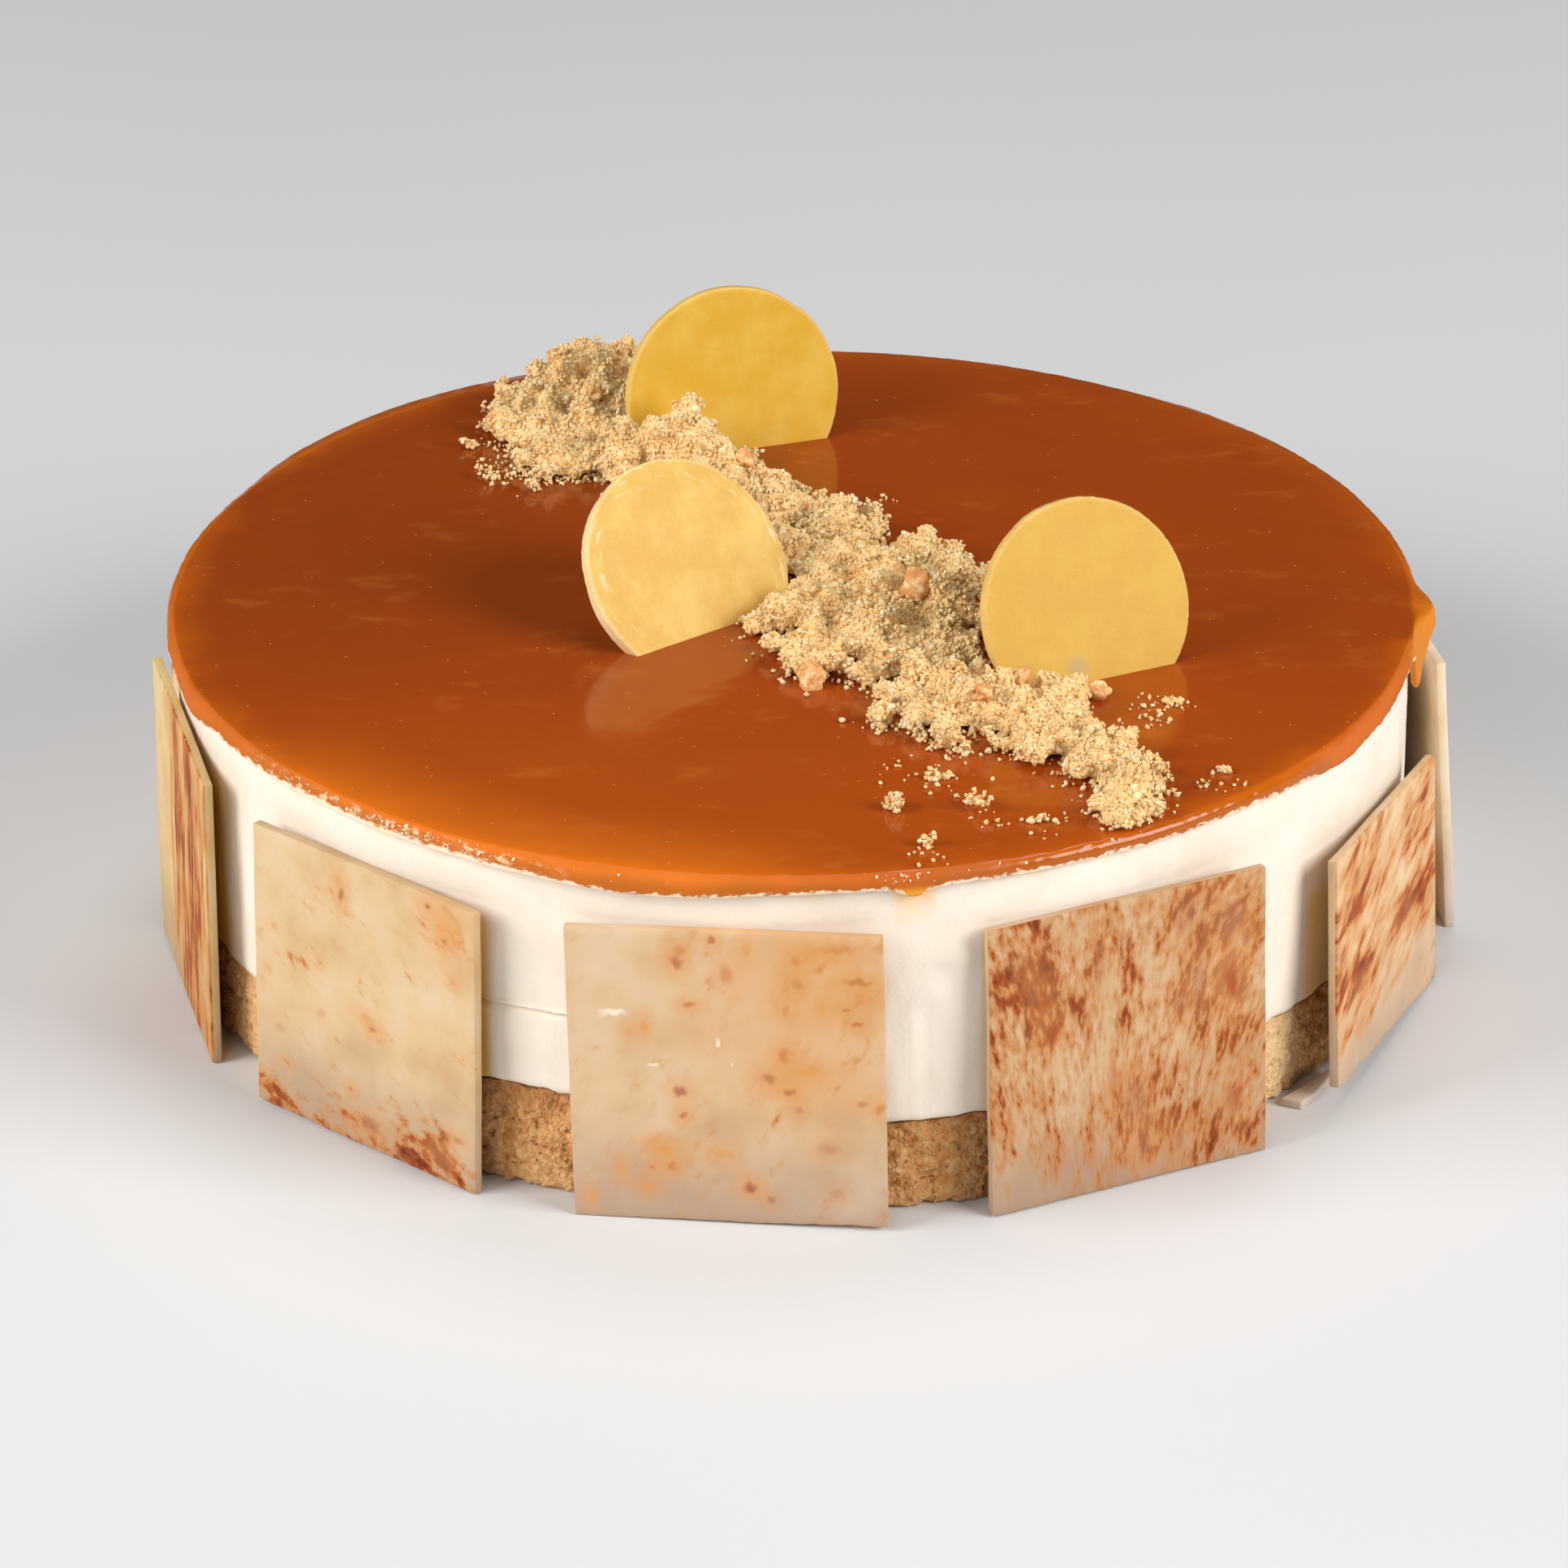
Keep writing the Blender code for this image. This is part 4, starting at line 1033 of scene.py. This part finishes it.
def caramel_cover():
    """Poured caramel: almost level, with a thin rounded rim, a curl along parts of it, drips and lobes."""
    inner = CREAM_RADIUS + GAP
    bottom = GLAZE_UNDERSIDE - LEAST_HANG
    rings = [(inner - 12.0 * MM, GLAZE_UNDERSIDE), (inner, GLAZE_UNDERSIDE), (inner, bottom + 0.2 * MM)]
    rings += [(GLAZE_RADIUS - inset * MM, bottom + rise * MM) for inset, rise in RIM_OUTLINE]
    for inset in (3.8, 4.6, 6.0, 8.0, 11.0, 15.0, 20.0, 28.0, 38.0, 50.0, 62.0, 74.0, 86.0, 96.0):
        rings.append((GLAZE_RADIUS - inset * MM, CAKE_HEIGHT))
    piece = turned(rings, sides=1080)
    over_edge = {}

    def pour(corner):
        point = corner.co
        radius = math.hypot(point.x, point.y)
        azimuth = azimuth_of(point)
        outer = blend(GLAZE_RADIUS - 9.0 * MM, GLAZE_RADIUS - 0.5 * MM, radius)
        height = point.z
        lowest = rim_bottom(azimuth) + 0.14 * MM * ripple(azimuth, swells=110.0, level=6.0)
        if radius > inner - 1.0 * MM and height < CAKE_HEIGHT - 0.05 * MM:
            share = (CAKE_HEIGHT - height) / (CAKE_HEIGHT - bottom)
            if radius > inner + 0.1 * MM or height < GLAZE_UNDERSIDE - 0.1 * MM:
                height = CAKE_HEIGHT - share * (CAKE_HEIGHT - lowest)
        hang = max(wave(azimuth, RIM_HANGS) - 1.0 * MM, 0.0) / MM
        inset = (GLAZE_RADIUS - radius) / MM if point.z > GLAZE_UNDERSIDE + 0.3 * MM else 0.0
        hidden = 0.0 if radius > inner else 5.0
        over_edge[corner.index] = (height - lowest) / MM + inset + 2.0 * hang + hidden
        spot = Vector((point.x, point.y, 0.0))
        if point.z > CAKE_HEIGHT - 0.3 * MM:
            sag = 0.16 * noise.noise(spot / (21.0 * MM)) - 0.12
            sag += 0.14 * outer * noise.noise(spot / (4.0 * MM))
            curled = max(blend(-58.0, -66.0, azimuth), 0.7 * blend(6.0, 14.0, azimuth))
            curl = GLAZE_RADIUS - 3.2 * MM + 0.9 * MM * ripple(azimuth, swells=7.0, level=4.0)
            groove = math.exp(-(((radius - curl) / (0.6 * MM)) ** 2))
            sag -= 0.3 * curled * groove * (0.6 + 0.4 * ripple(azimuth, swells=5.0, level=8.0))
            height += min(sag, 0.0) * MM
        if radius <= inner + 0.1 * MM:
            return place(azimuth, radius, height)
        lobe = rim_radius(azimuth) - GLAZE_RADIUS
        ragged = 0.14 * MM * ripple(azimuth, swells=60.0, level=2.0 + 120.0 * point.z)
        return place(azimuth, radius + outer * (lobe + ragged), height)

    for corner in piece.data.vertices:
        corner.co = pour(corner)
    marked = piece.data.attributes.new("over_edge", "FLOAT", "POINT")
    marked.data.foreach_set("value", [over_edge[number] for number in range(len(piece.data.vertices))])
    piece.data.update()
    smooth(piece, 60.0)
    dress(piece, "caramel_cover", caramel_material(), "caramel", "caramel_glaze")


def soften(piece, width, segments, angle):
    """Edges sharper than an angle in degrees rounded, and every modifier applied."""
    rounding = piece.modifiers.new("soft_edges", "BEVEL")
    rounding.width = width
    rounding.segments = segments
    rounding.limit_method = "ANGLE"
    rounding.angle_limit = math.radians(angle)
    apply_all(piece)


def chocolate_sheet(index):
    """One square: a hand-cut sheet with uneven edges, thickened, and its edges softened."""
    width, height = SQUARES[index][4:6]
    cuts = 34
    matrix = square_frame(index)
    deselect()
    middle = matrix @ Vector((0.0, 0.0, 0.5 * height))
    facing = (matrix @ rotation(90.0, "X")).to_euler()
    bpy.ops.mesh.primitive_grid_add(
        x_subdivisions=cuts, y_subdivisions=cuts, size=width, location=middle, rotation=facing
    )
    piece = bpy.context.active_object
    piece.scale = (1.0, height / width, 1.0)
    bpy.ops.object.transform_apply(location=False, rotation=False, scale=True)
    seed = 10.0 * random.Random(SQUARE_SEED + index).random()

    def cut(point):
        x, y = point.x, point.y
        to_side = blend(0.42 * width, 0.5 * width, abs(x))
        to_end = blend(0.42 * height, 0.5 * height, abs(y))
        x += 0.22 * MM * to_side * noise.noise(Vector((seed, y / (14.0 * MM), math.copysign(3.0, x))))
        y += 0.22 * MM * to_end * noise.noise(Vector((x / (14.0 * MM), seed, math.copysign(5.0, y))))
        if point.y < 0.0:
            y += 0.16 * MM * to_end * noise.noise(Vector((x / (1.6 * MM), seed, 9.0)))
        if index == TORN_SQUARE and point.y < 0.0:
            low = blend(-0.30 * height, -0.5 * height, point.y)
            tear = 0.55 + 0.45 * noise.noise(Vector((x / (2.2 * MM), seed, 1.0)))
            tear += 0.3 * noise.noise(Vector((x / (0.8 * MM), seed, 2.0)))
            y += 1.3 * MM * low * max(tear, 0.0)
        bow = 0.12 * MM * noise.noise(Vector((x / (26.0 * MM), y / (26.0 * MM), seed)))
        return Vector((x, y, min(bow, 0.0)))

    move_corners(piece, cut)
    thicken = piece.modifiers.new("thickness", "SOLIDIFY")
    thicken.thickness = SQUARE_THICKNESS
    thicken.offset = -1.0
    soften(piece, 0.28 * MM, segments=2, angle=50.0)
    settle(piece)
    lowest = min(corner.co.z for corner in piece.data.vertices)
    move_corners(piece, lambda point: point - Vector((0.0, 0.0, lowest)))
    outwards(piece)
    smooth(piece)
    number = f"{index + 1:02d}"
    finish = marbled_material(index, f"marbled_chocolate_{number}")
    dress(piece, f"chocolate_sheet_{number}", finish, "white_chocolate", f"chocolate_square_{number}")


def chocolate_round(index):
    """One disc: a round cast plate, with its rim softened and nibbled."""
    radius = DISCS[index][-1]
    matrix = disc_frame(index)
    deselect()
    middle = matrix @ Vector((0.0, 0.5 * DISC_THICKNESS, 0.0))
    facing = (matrix @ rotation(90.0, "X")).to_euler()
    bpy.ops.mesh.primitive_cylinder_add(
        vertices=160, radius=radius, depth=DISC_THICKNESS, location=middle, rotation=facing
    )
    piece = bpy.context.active_object
    edit(piece, "FACE")
    bpy.ops.mesh.select_all(action="DESELECT")
    done()
    for face in piece.data.polygons:
        face.select = abs(face.normal.z) > 0.9
    bpy.ops.object.mode_set(mode="EDIT")
    for inset in (1.2, 2.0, 3.0, 4.0):
        bpy.ops.mesh.inset(thickness=inset * MM)
    done()

    def nibble(point):
        reach = math.hypot(point.x, point.y)
        angle = math.atan2(point.y, point.x)
        around = Vector((3.0 * math.cos(angle), 3.0 * math.sin(angle), index))
        rim = blend(0.9 * radius, radius, reach)
        shift = -0.22 * (1.0 + noise.noise(around)) - 0.1 * (1.0 + noise.noise(around * 9.0))
        share = 1.0 + rim * shift * MM / max(reach, MM)
        return Vector((point.x * share, point.y * share, point.z))

    move_corners(piece, nibble)
    soften(piece, 0.4 * MM, segments=3, angle=50.0)
    settle(piece)
    outwards(piece)
    smooth(piece)
    number = f"{index + 1:02d}"
    finish = disc_material(index)
    dress(piece, f"chocolate_round_{number}", finish, "yellow_chocolate", f"chocolate_disc_{number}")


def chocolate_sliver():
    """Broken chip at the base's foot, its edges softened."""
    piece = solid_copy("sliver", "chocolate_chip")
    edit(piece)
    bpy.ops.mesh.dissolve_limited(angle_limit=math.radians(3.0))
    done()
    soften(piece, 0.2 * MM, segments=2, angle=30.0)
    smooth(piece)
    # The chip takes the sixth square's chocolate, with its painted paler light
    finish = marbled_material(PALEST_SQUARE, "plain_chocolate")
    dress(piece, "chocolate_sliver", finish, "white_chocolate", "chocolate_chip")


def knocked(piece, uneven, seed):
    """Corners and faces of a small shape, knocked out of form."""

    def knock(point):
        spot = point * 1.3 + Vector((seed, 2.0 * seed, 0.0))
        return point * (1.0 + uneven * noise.noise(spot) + 0.5 * uneven * noise.noise(spot * 2.7))

    move_corners(piece, knock)
    corners = np.array([corner.co for corner in piece.data.vertices])
    faces = np.array([list(face.vertices) for face in piece.data.polygons])
    mesh = piece.data
    bpy.data.objects.remove(piece)
    bpy.data.meshes.remove(mesh)
    return corners, faces


def crumb_shape(subdivisions, uneven, seed):
    """One crumb of radius 1: a ball with few sides, knocked out of form."""
    deselect()
    bpy.ops.mesh.primitive_ico_sphere_add(subdivisions=subdivisions, radius=1.0)
    return knocked(bpy.context.active_object, uneven, seed)


def sand_shape(seed):
    """One of the smallest crumbs: a three-sided block, its upper end turned half a side."""
    deselect()
    bpy.ops.mesh.primitive_cylinder_add(vertices=3, radius=0.85, depth=1.1)
    piece = bpy.context.active_object
    half_side = Matrix.Rotation(math.radians(60.0), 3, "Z")
    move_corners(piece, lambda point: half_side @ point if point.z > 0.0 else point)
    edit(piece, "FACE")
    bpy.ops.mesh.quads_convert_to_tris(quad_method="SHORTEST_DIAGONAL")
    bpy.ops.mesh.normals_make_consistent(inside=False)
    done()
    return knocked(piece, 0.5, seed)


def random_turns(count, rng):
    """Random turning matrices."""
    axes = rng.normal(size=(count, 4))
    w, x, y, z = (axes / np.linalg.norm(axes, axis=1)[:, None]).T
    rows = (
        (1 - 2 * (y * y + z * z), 2 * (x * y - w * z), 2 * (x * z + w * y)),
        (2 * (x * y + w * z), 1 - 2 * (x * x + z * z), 2 * (y * z - w * x)),
        (2 * (x * z - w * y), 2 * (y * z + w * x), 1 - 2 * (x * x + y * y)),
    )
    return np.moveaxis(np.array(rows), 2, 0)


def strew(spots, sizes, shapes, rng, squash=0.75):
    """One mesh of many crumbs, each of a random shape, turn and stretch, with its tone as an attribute."""
    chosen = rng.integers(0, len(shapes), len(spots))
    all_corners, all_faces, all_tones, start = [], [], [], 0
    for number, (corners, faces) in enumerate(shapes):
        mine = np.flatnonzero(chosen == number)
        if not len(mine):
            continue
        stretch = rng.uniform(squash, 1.0 / squash, size=(len(mine), 1, 3))
        local = corners[None] * stretch * sizes[mine][:, None, None]
        turned_corners = np.einsum("nij,nkj->nki", random_turns(len(mine), rng), local)
        placed = turned_corners + spots[mine][:, None]
        offsets = start + np.arange(len(mine)) * len(corners)
        all_corners.append(placed.reshape(-1, 3))
        all_faces.append((faces[None] + offsets[:, None, None]).reshape(-1, 3))
        all_tones.append(np.repeat(rng.uniform(0.0, 1.0, len(mine)), len(corners)))
        start += len(mine) * len(corners)
    mesh = bpy.data.meshes.new("crumbs")
    mesh.from_pydata(np.concatenate(all_corners).tolist(), [], np.concatenate(all_faces).tolist())
    tone = mesh.attributes.new("tone", "FLOAT", "POINT")
    tone.data.foreach_set("value", np.concatenate(all_tones).astype(np.float32))
    return added("crumbs", mesh)


def surface_of(piece):
    """Triangles of a piece: corner places, areas and normals."""
    mesh = piece.data
    mesh.calc_loop_triangles()
    corners = np.empty(len(mesh.vertices) * 3)
    mesh.vertices.foreach_get("co", corners)
    corners = corners.reshape(-1, 3)
    triangles = np.empty(len(mesh.loop_triangles) * 3, dtype=np.int32)
    mesh.loop_triangles.foreach_get("vertices", triangles)
    first, second, third = np.moveaxis(corners[triangles.reshape(-1, 3)], 1, 0)
    across = np.cross(second - first, third - first)
    double = np.linalg.norm(across, axis=1)
    return (first, second, third), 0.5 * double, across / np.maximum(double, 1e-12)[:, None]


def facing_up(surface, least):
    """1 for each triangle whose normal points up by at least this much, and 0 for the others."""
    return (surface[2][:, 2] > least).astype(float)


def spots_on(surface, count, rng, wanted):
    """Random places on the triangles that are wanted, and the normals there."""
    (first, second, third), areas, normals = surface
    weights = areas * wanted
    chosen = rng.choice(len(areas), size=count, p=weights / weights.sum())
    a, b = rng.uniform(size=(2, count, 1))
    over = (a + b) > 1.0
    a, b = np.where(over, 1.0 - a, a), np.where(over, 1.0 - b, b)
    spots = first[chosen] + a * (second - first)[chosen] + b * (third - first)[chosen]
    return spots, normals[chosen]


# Lumps of crumble that raise the heap's peaks, in mm: middle, height above the caramel and radius
PEAK_LUMPS = (
    (-22.5, 47, 5.0, 4.2), (-13.5, 45, 5.0, 4.0), (-18, 45, 7.0, 4.0), (-20.5, 47, 8.2, 3.2),
    (-15.6, 45.5, 8.0, 3.0), (-18.2, 47, 10.2, 2.6), (-39, 80, 6.0, 3.4), (-36, 82, 8.0, 2.6),
    (8, 18, 7.0, 2.6), (16, -2, 6.6, 2.4), (22, -9, 6.4, 2.6), (-1, -15, 4.0, 3.0), (24, -57, 2.6, 3.0),
    (19, -52, 2.2, 2.4), (14, -49, 1.6, 2.0),
)


def crumble_core(rng):
    """Body of the heap: the solid's clumps with smaller ones on them, melted together and roughened."""
    heap = solid_copy("heap", "biscuit_crumble")
    surface = surface_of(heap)
    spots, normals = spots_on(surface, HEAP_LUMPS, rng, facing_up(surface, -0.2))
    sizes = rng.uniform(0.8, 1.7, len(spots)) * MM
    spots = spots - 0.35 * sizes[:, None] * normals
    peaks = np.array(PEAK_LUMPS) * MM
    peaks[:, 2] += CAKE_HEIGHT
    spots = np.concatenate((spots, peaks[:, :3]))
    sizes = np.concatenate((sizes, peaks[:, 3]))
    spots[:, 2] = np.maximum(spots[:, 2], CAKE_HEIGHT + 0.3 * sizes)
    clumps = strew(spots, sizes, [crumb_shape(3, 0.35, seed) for seed in range(4)], rng, squash=0.85)
    deselect()
    clumps.select_set(True)
    heap.select_set(True)
    bpy.context.view_layer.objects.active = heap
    bpy.ops.object.join()
    melt = heap.modifiers.new("melt", "REMESH")
    melt.mode = "VOXEL"
    melt.voxel_size = 0.5 * MM
    apply_all(heap)

    normals = [corner.normal.copy() for corner in heap.data.vertices]
    for corner, normal in zip(heap.data.vertices, normals):
        depth = 0.2 + 0.3 * rough(corner.co, 2.0 * MM) + 0.35 * (1.0 - lumpy(corner.co, 1.6 * MM))
        depth += 0.5 * blend(0.2, 0.6, noise.noise(corner.co / (2.6 * MM)))
        corner.co = corner.co - depth * MM * normal
        corner.co.z = max(corner.co.z, CAKE_HEIGHT + 0.05 * MM)
    tone = heap.data.attributes.get("tone")
    if tone is not None:
        heap.data.attributes.remove(tone)
    # Painted shade: the core gets a tone a little darker than the grains on it
    tone = heap.data.attributes.new("tone", "FLOAT", "POINT")
    tone.data.foreach_set("value", np.full(len(heap.data.vertices), 0.4, np.float32))
    heap.data.update()
    smooth(heap, 60.0)
    return heap


# Nut pieces that show: place on the cake in mm
NUT_PIECES = (
    (3, -5), (8, -18), (3, -35), (48, -40), (30, -50), (14, 3), (36, -44), (20, -12), (-34, 70), (-8, 40),
)

# Dust and stray grains on the caramel, in mm: middle, half sizes and how many
DUST = (
    (57, -45, 5, 7, 46), (65, -72, 5, 3, 16), (14, 34, 4, 4, 30), (20, -95, 3, 5, 14), (13, -102, 2, 1, 3),
    (38, -89, 3, 2, 4), (41, -83, 3, 3, 8), (-50, 52, 5, 9, 26), (22, -66, 7, 14, 40), (30, -84, 7, 5, 14),
    (2, -14, 7, 8, 22), (36, -60, 5, 8, 20), (-38, 47, 12, 3, 150), (-46, 50, 8, 6, 50),
)

# Clumps that lie loose on the caramel, in mm: middle and radius
LOOSE_CLUMPS = (
    (16.5, -80, 2.5), (28.5, -79, 2.0), (23, -69, 1.9), (26, -60, 2.2), (19.5, -54, 1.7), (20, -92, 1.3),
    (36.5, -84, 1.3), (59.5, -42, 1.6), (67, -67, 1.4), (-55, 60, 1.4), (-51, 46, 1.6), (-44, 41, 1.4),
)


def clusters(middles, radii, rng, grain=(0.2, 0.45)):
    """Grains clinging together in small uneven clumps."""
    spots, sizes = [], []
    for middle, radius in zip(middles, radii):
        parts = rng.integers(2, 5)
        arms = rng.normal(size=(parts, 3)) * 0.42 * radius
        for arm in arms:
            count = max(int(18 * (radius / MM) ** 1.7 / parts), 3)
            inside = rng.normal(size=(count, 3))
            reach = 0.62 * radius * rng.uniform(0.2, 1.0, count) ** 0.5
            inside *= (reach / np.linalg.norm(inside, axis=1))[:, None]
            spots.append(middle + arm + inside)
            sizes.append(rng.uniform(*grain, count) * MM)
    spots, sizes = np.concatenate(spots), np.concatenate(sizes)
    spots[:, 2] = np.maximum(spots[:, 2], CAKE_HEIGHT + 0.45 * sizes)
    return spots, sizes


def pushed_out(spots, normals, away, heights):
    """Places moved level away from the heap, and set at heights above the caramel."""
    level = normals[:, :2]
    outward = level / np.maximum(np.linalg.norm(level, axis=1), 1e-6)[:, None]
    return np.column_stack((spots[:, :2] + outward * away[:, None], CAKE_HEIGHT + heights))


def lay(name, spots, sizes, shapes, rng, finish, angle=80.0, node="biscuit_crumble"):
    """One piece of crumbs at their places."""
    piece = strew(spots, sizes, shapes, rng)
    smooth(piece, angle)
    dress(piece, name, finish, "crumble", node)


def stray_grains(surface, rng):
    """Places and sizes of the grains beside the heap: single ones, small clumps and dust."""
    low = ((surface[0][0][:, 2] < CAKE_HEIGHT + 1.6 * MM) & (np.abs(surface[2][:, 2]) < 0.8)).astype(float)
    spots, normals = spots_on(surface, STRAY_GRAINS, rng, low)
    away = rng.exponential(1.6, len(spots)) * MM
    sizes = np.clip(rng.normal(0.32, 0.13, len(spots)), 0.13, 0.7) * MM
    groups, group_sizes = [pushed_out(spots, normals, away, 0.5 * sizes)], [sizes]

    spots, normals = spots_on(surface, STRAY_CLUMPS, rng, low)
    radii = rng.uniform(0.5, 1.25, len(spots)) * MM
    away = rng.exponential(1.1, len(spots)) * MM
    spots, sizes = clusters(pushed_out(spots, normals, away, 0.6 * radii), radii, rng)
    groups.append(spots)
    group_sizes.append(sizes)

    for x, y, half_x, half_y, count in DUST:
        shift = rng.normal(size=(count, 2)) * 0.5 * np.array((half_x, half_y))
        sizes = rng.uniform(0.14, 0.44, count) * MM
        height = CAKE_HEIGHT + 0.4 * sizes
        groups.append(np.column_stack(((np.array((x, y)) + shift) * MM, height)))
        group_sizes.append(sizes)

    spots, sizes = np.concatenate(groups), np.concatenate(group_sizes)
    inside = np.hypot(spots[:, 0], spots[:, 1]) < GLAZE_RADIUS - 1.5 * MM
    return spots[inside], sizes[inside]


def crumble():
    """The heap's core with grains all over it, nut pieces, and grains and clumps strewn beside it."""
    rng = np.random.default_rng(CRUMBLE_SEED)
    finish = crumble_material()
    heap = crumble_core(rng)
    surface = surface_of(heap)
    open_faces = facing_up(surface, -0.3)
    coarse_shapes = [crumb_shape(2, 0.4, 3.0 + seed) for seed in range(3)]
    sand = [sand_shape(30.0 + seed) for seed in range(5)]
    fine_shapes = [crumb_shape(1, 0.6, 9.0 + seed) for seed in range(2)] + sand[:3]

    spots, normals = spots_on(surface, COARSE_GRAINS, rng, open_faces)
    sizes = (0.3 + 0.36 * rng.uniform(size=len(spots)) ** 2.0) * MM
    lay("crumble_grains", spots + 0.25 * sizes[:, None] * normals, sizes, coarse_shapes, rng, finish, 70.0)

    spots, normals = spots_on(surface, FINE_GRAINS, rng, open_faces)
    sizes = (0.19 + 0.28 * rng.uniform(size=len(spots)) ** 1.6) * MM
    lay("crumble_fines", spots + 0.45 * sizes[:, None] * normals, sizes, sand, rng, finish)

    spots, normals = spots_on(surface, CLINGING_CLUMPS, rng, open_faces)
    sizes = rng.uniform(0.7, 1.5, len(spots)) * MM
    spots, sizes = clusters(spots + 0.5 * sizes[:, None] * normals, sizes, rng)
    lay("crumble_clusters", spots, sizes, fine_shapes, rng, finish)

    spots, sizes = stray_grains(surface, rng)
    lay("crumble_strays", spots, sizes, fine_shapes, rng, finish)

    loose = np.array(LOOSE_CLUMPS) * MM
    middles = np.column_stack((loose[:, :2], CAKE_HEIGHT + 0.45 * loose[:, 2]))
    spots, sizes = clusters(middles, loose[:, 2], rng, grain=(0.22, 0.5))
    lay("loose_clumps", spots, sizes, fine_shapes, rng, finish, node="caramel_glaze")

    dress(heap, "crumble_core", finish, "crumble", "biscuit_crumble")
    nuts(surface, rng)


def nuts(surface, rng):
    """Nut pieces sitting in the crumble."""
    corners = surface[0][0]
    spots = []
    for x, y in NUT_PIECES:
        near = np.hypot(corners[:, 0] - x * MM, corners[:, 1] - y * MM) < 2.0 * MM
        top = corners[near][:, 2].max() if near.any() else CAKE_HEIGHT
        spots.append((x * MM, y * MM, max(top - 1.1 * MM, CAKE_HEIGHT + 1.0 * MM)))
    more, normals = spots_on(surface, SMALL_NUTS, rng, facing_up(surface, 0.3))
    more = more - 0.3 * MM * normals
    sizes = np.concatenate((rng.uniform(1.5, 2.3, len(spots)), rng.uniform(0.8, 1.3, len(more)))) * MM
    shapes = [crumb_shape(3, 0.4, 20.0 + seed) for seed in range(3)]
    lay("nut_pieces", np.concatenate((np.array(spots), more)), sizes, shapes, rng, nut_material(), 60.0)


def rim_flecks():
    """Bits of cream torn up into the caramel's edge, most of them at the front left."""
    rng = np.random.default_rng(FLECK_SEED)
    spots = []
    for centre, spread, count in RIM_FLECKS:
        for azimuth in rng.normal(centre, spread, count):
            down = rng.uniform(0.2, 1.0) ** 0.6
            inset = 1.2 * (1.0 - down) ** 1.5 + 0.05
            height = CAKE_HEIGHT - (0.05 + 1.8 * down * down) * MM
            spots.append(place(azimuth, rim_radius(azimuth) - inset * MM, height))
    spots = np.array(spots)
    sizes = (0.06 + 0.16 * rng.uniform(size=len(spots)) ** 2.5) * MM
    piece = strew(spots, sizes, [crumb_shape(1, 0.6, 40.0 + seed) for seed in range(4)], rng, squash=0.5)
    dress(piece, "torn_rim_flecks", fleck_material(), "cream", "caramel_glaze")


# The picture: camera, floor and lights

# The camera's place, its turns in degrees (pan, tilt and roll), and its sensor and lens in mm
CAMERA_PLACE = (0.0, -1.0465, 0.5468)
CAMERA_TURNS = (0.0904, 63.467, -0.3711)
SENSOR_WIDTH = 36.0
LENS = 161.455

# The soft lights: place and power, and the side they all have
SOFTBOXES = (
    ("left_light", (-1.2, -0.5, 0.75), 18.0),
    ("right_light", (1.14, -0.62, 0.75), 20.0),
    ("front_light", (-0.55, -1.18, 0.75), 4.5),
    ("back_light", (0.2, 0.7, 1.8), 8.0),
)
SOFTBOX_SIZE = 0.8


def camera():
    """Camera at the photograph's place, looking slightly down at the cake."""
    pan, tilt, roll = CAMERA_TURNS
    bpy.ops.object.camera_add()
    made = bpy.context.active_object
    made.name = "camera"
    looking = rotation(pan, "Z") @ rotation(tilt, "X") @ rotation(roll, "Z")
    made.matrix_world = Matrix.Translation(CAMERA_PLACE) @ looking
    made.data.sensor_width = SENSOR_WIDTH
    made.data.lens = LENS
    made.data.clip_start = 0.01
    made.data.clip_end = 50.0
    bpy.context.scene.camera = made


def floor():
    """Plain pale floor."""
    deselect()
    bpy.ops.mesh.primitive_plane_add(size=12.0, location=(0.0, 0.0, -0.02 * MM))
    made = bpy.context.active_object
    made.name = "floor"
    finish, tree, shader = new_material("pale_floor", Roughness=0.7, Specular_IOR_Level=0.2)
    shade = noise_at(in_mm(tree), 400.0)
    connect(shader, Base_Color=ramp(shade, (0.3, (214, 214, 215)), (0.7, (220, 220, 220))))
    made.data.materials.append(finish)


def softbox(name, location, power):
    """Square area light that looks at the cake's middle."""
    deselect()
    bpy.ops.object.light_add(type="AREA", location=location)
    made = bpy.context.active_object
    made.name = name
    made.data.shape = "SQUARE"
    made.data.size = SOFTBOX_SIZE
    made.data.energy = power
    towards = Vector((0.0, 0.0, 0.03)) - Vector(location)
    made.rotation_euler = towards.to_track_quat("-Z", "Y").to_euler()


def lights():
    for name, location, power in SOFTBOXES:
        softbox(name, location, power)
    world = bpy.data.worlds.new("studio")
    bpy.context.scene.world = world
    world.use_nodes = True
    backdrop = world.node_tree.nodes["Background"]
    backdrop.inputs["Color"].default_value = (1.0, 0.98, 0.96, 1.0)
    backdrop.inputs["Strength"].default_value = 0.04


camera()
lights()
floor()
biscuit_side()
cream_body()
caramel_cover()
for number in range(len(SQUARES)):
    chocolate_sheet(number)
for number in range(len(DISCS)):
    chocolate_round(number)
chocolate_sliver()
crumble()
rim_flecks()

bpy.context.scene.view_settings.view_transform = "Standard"
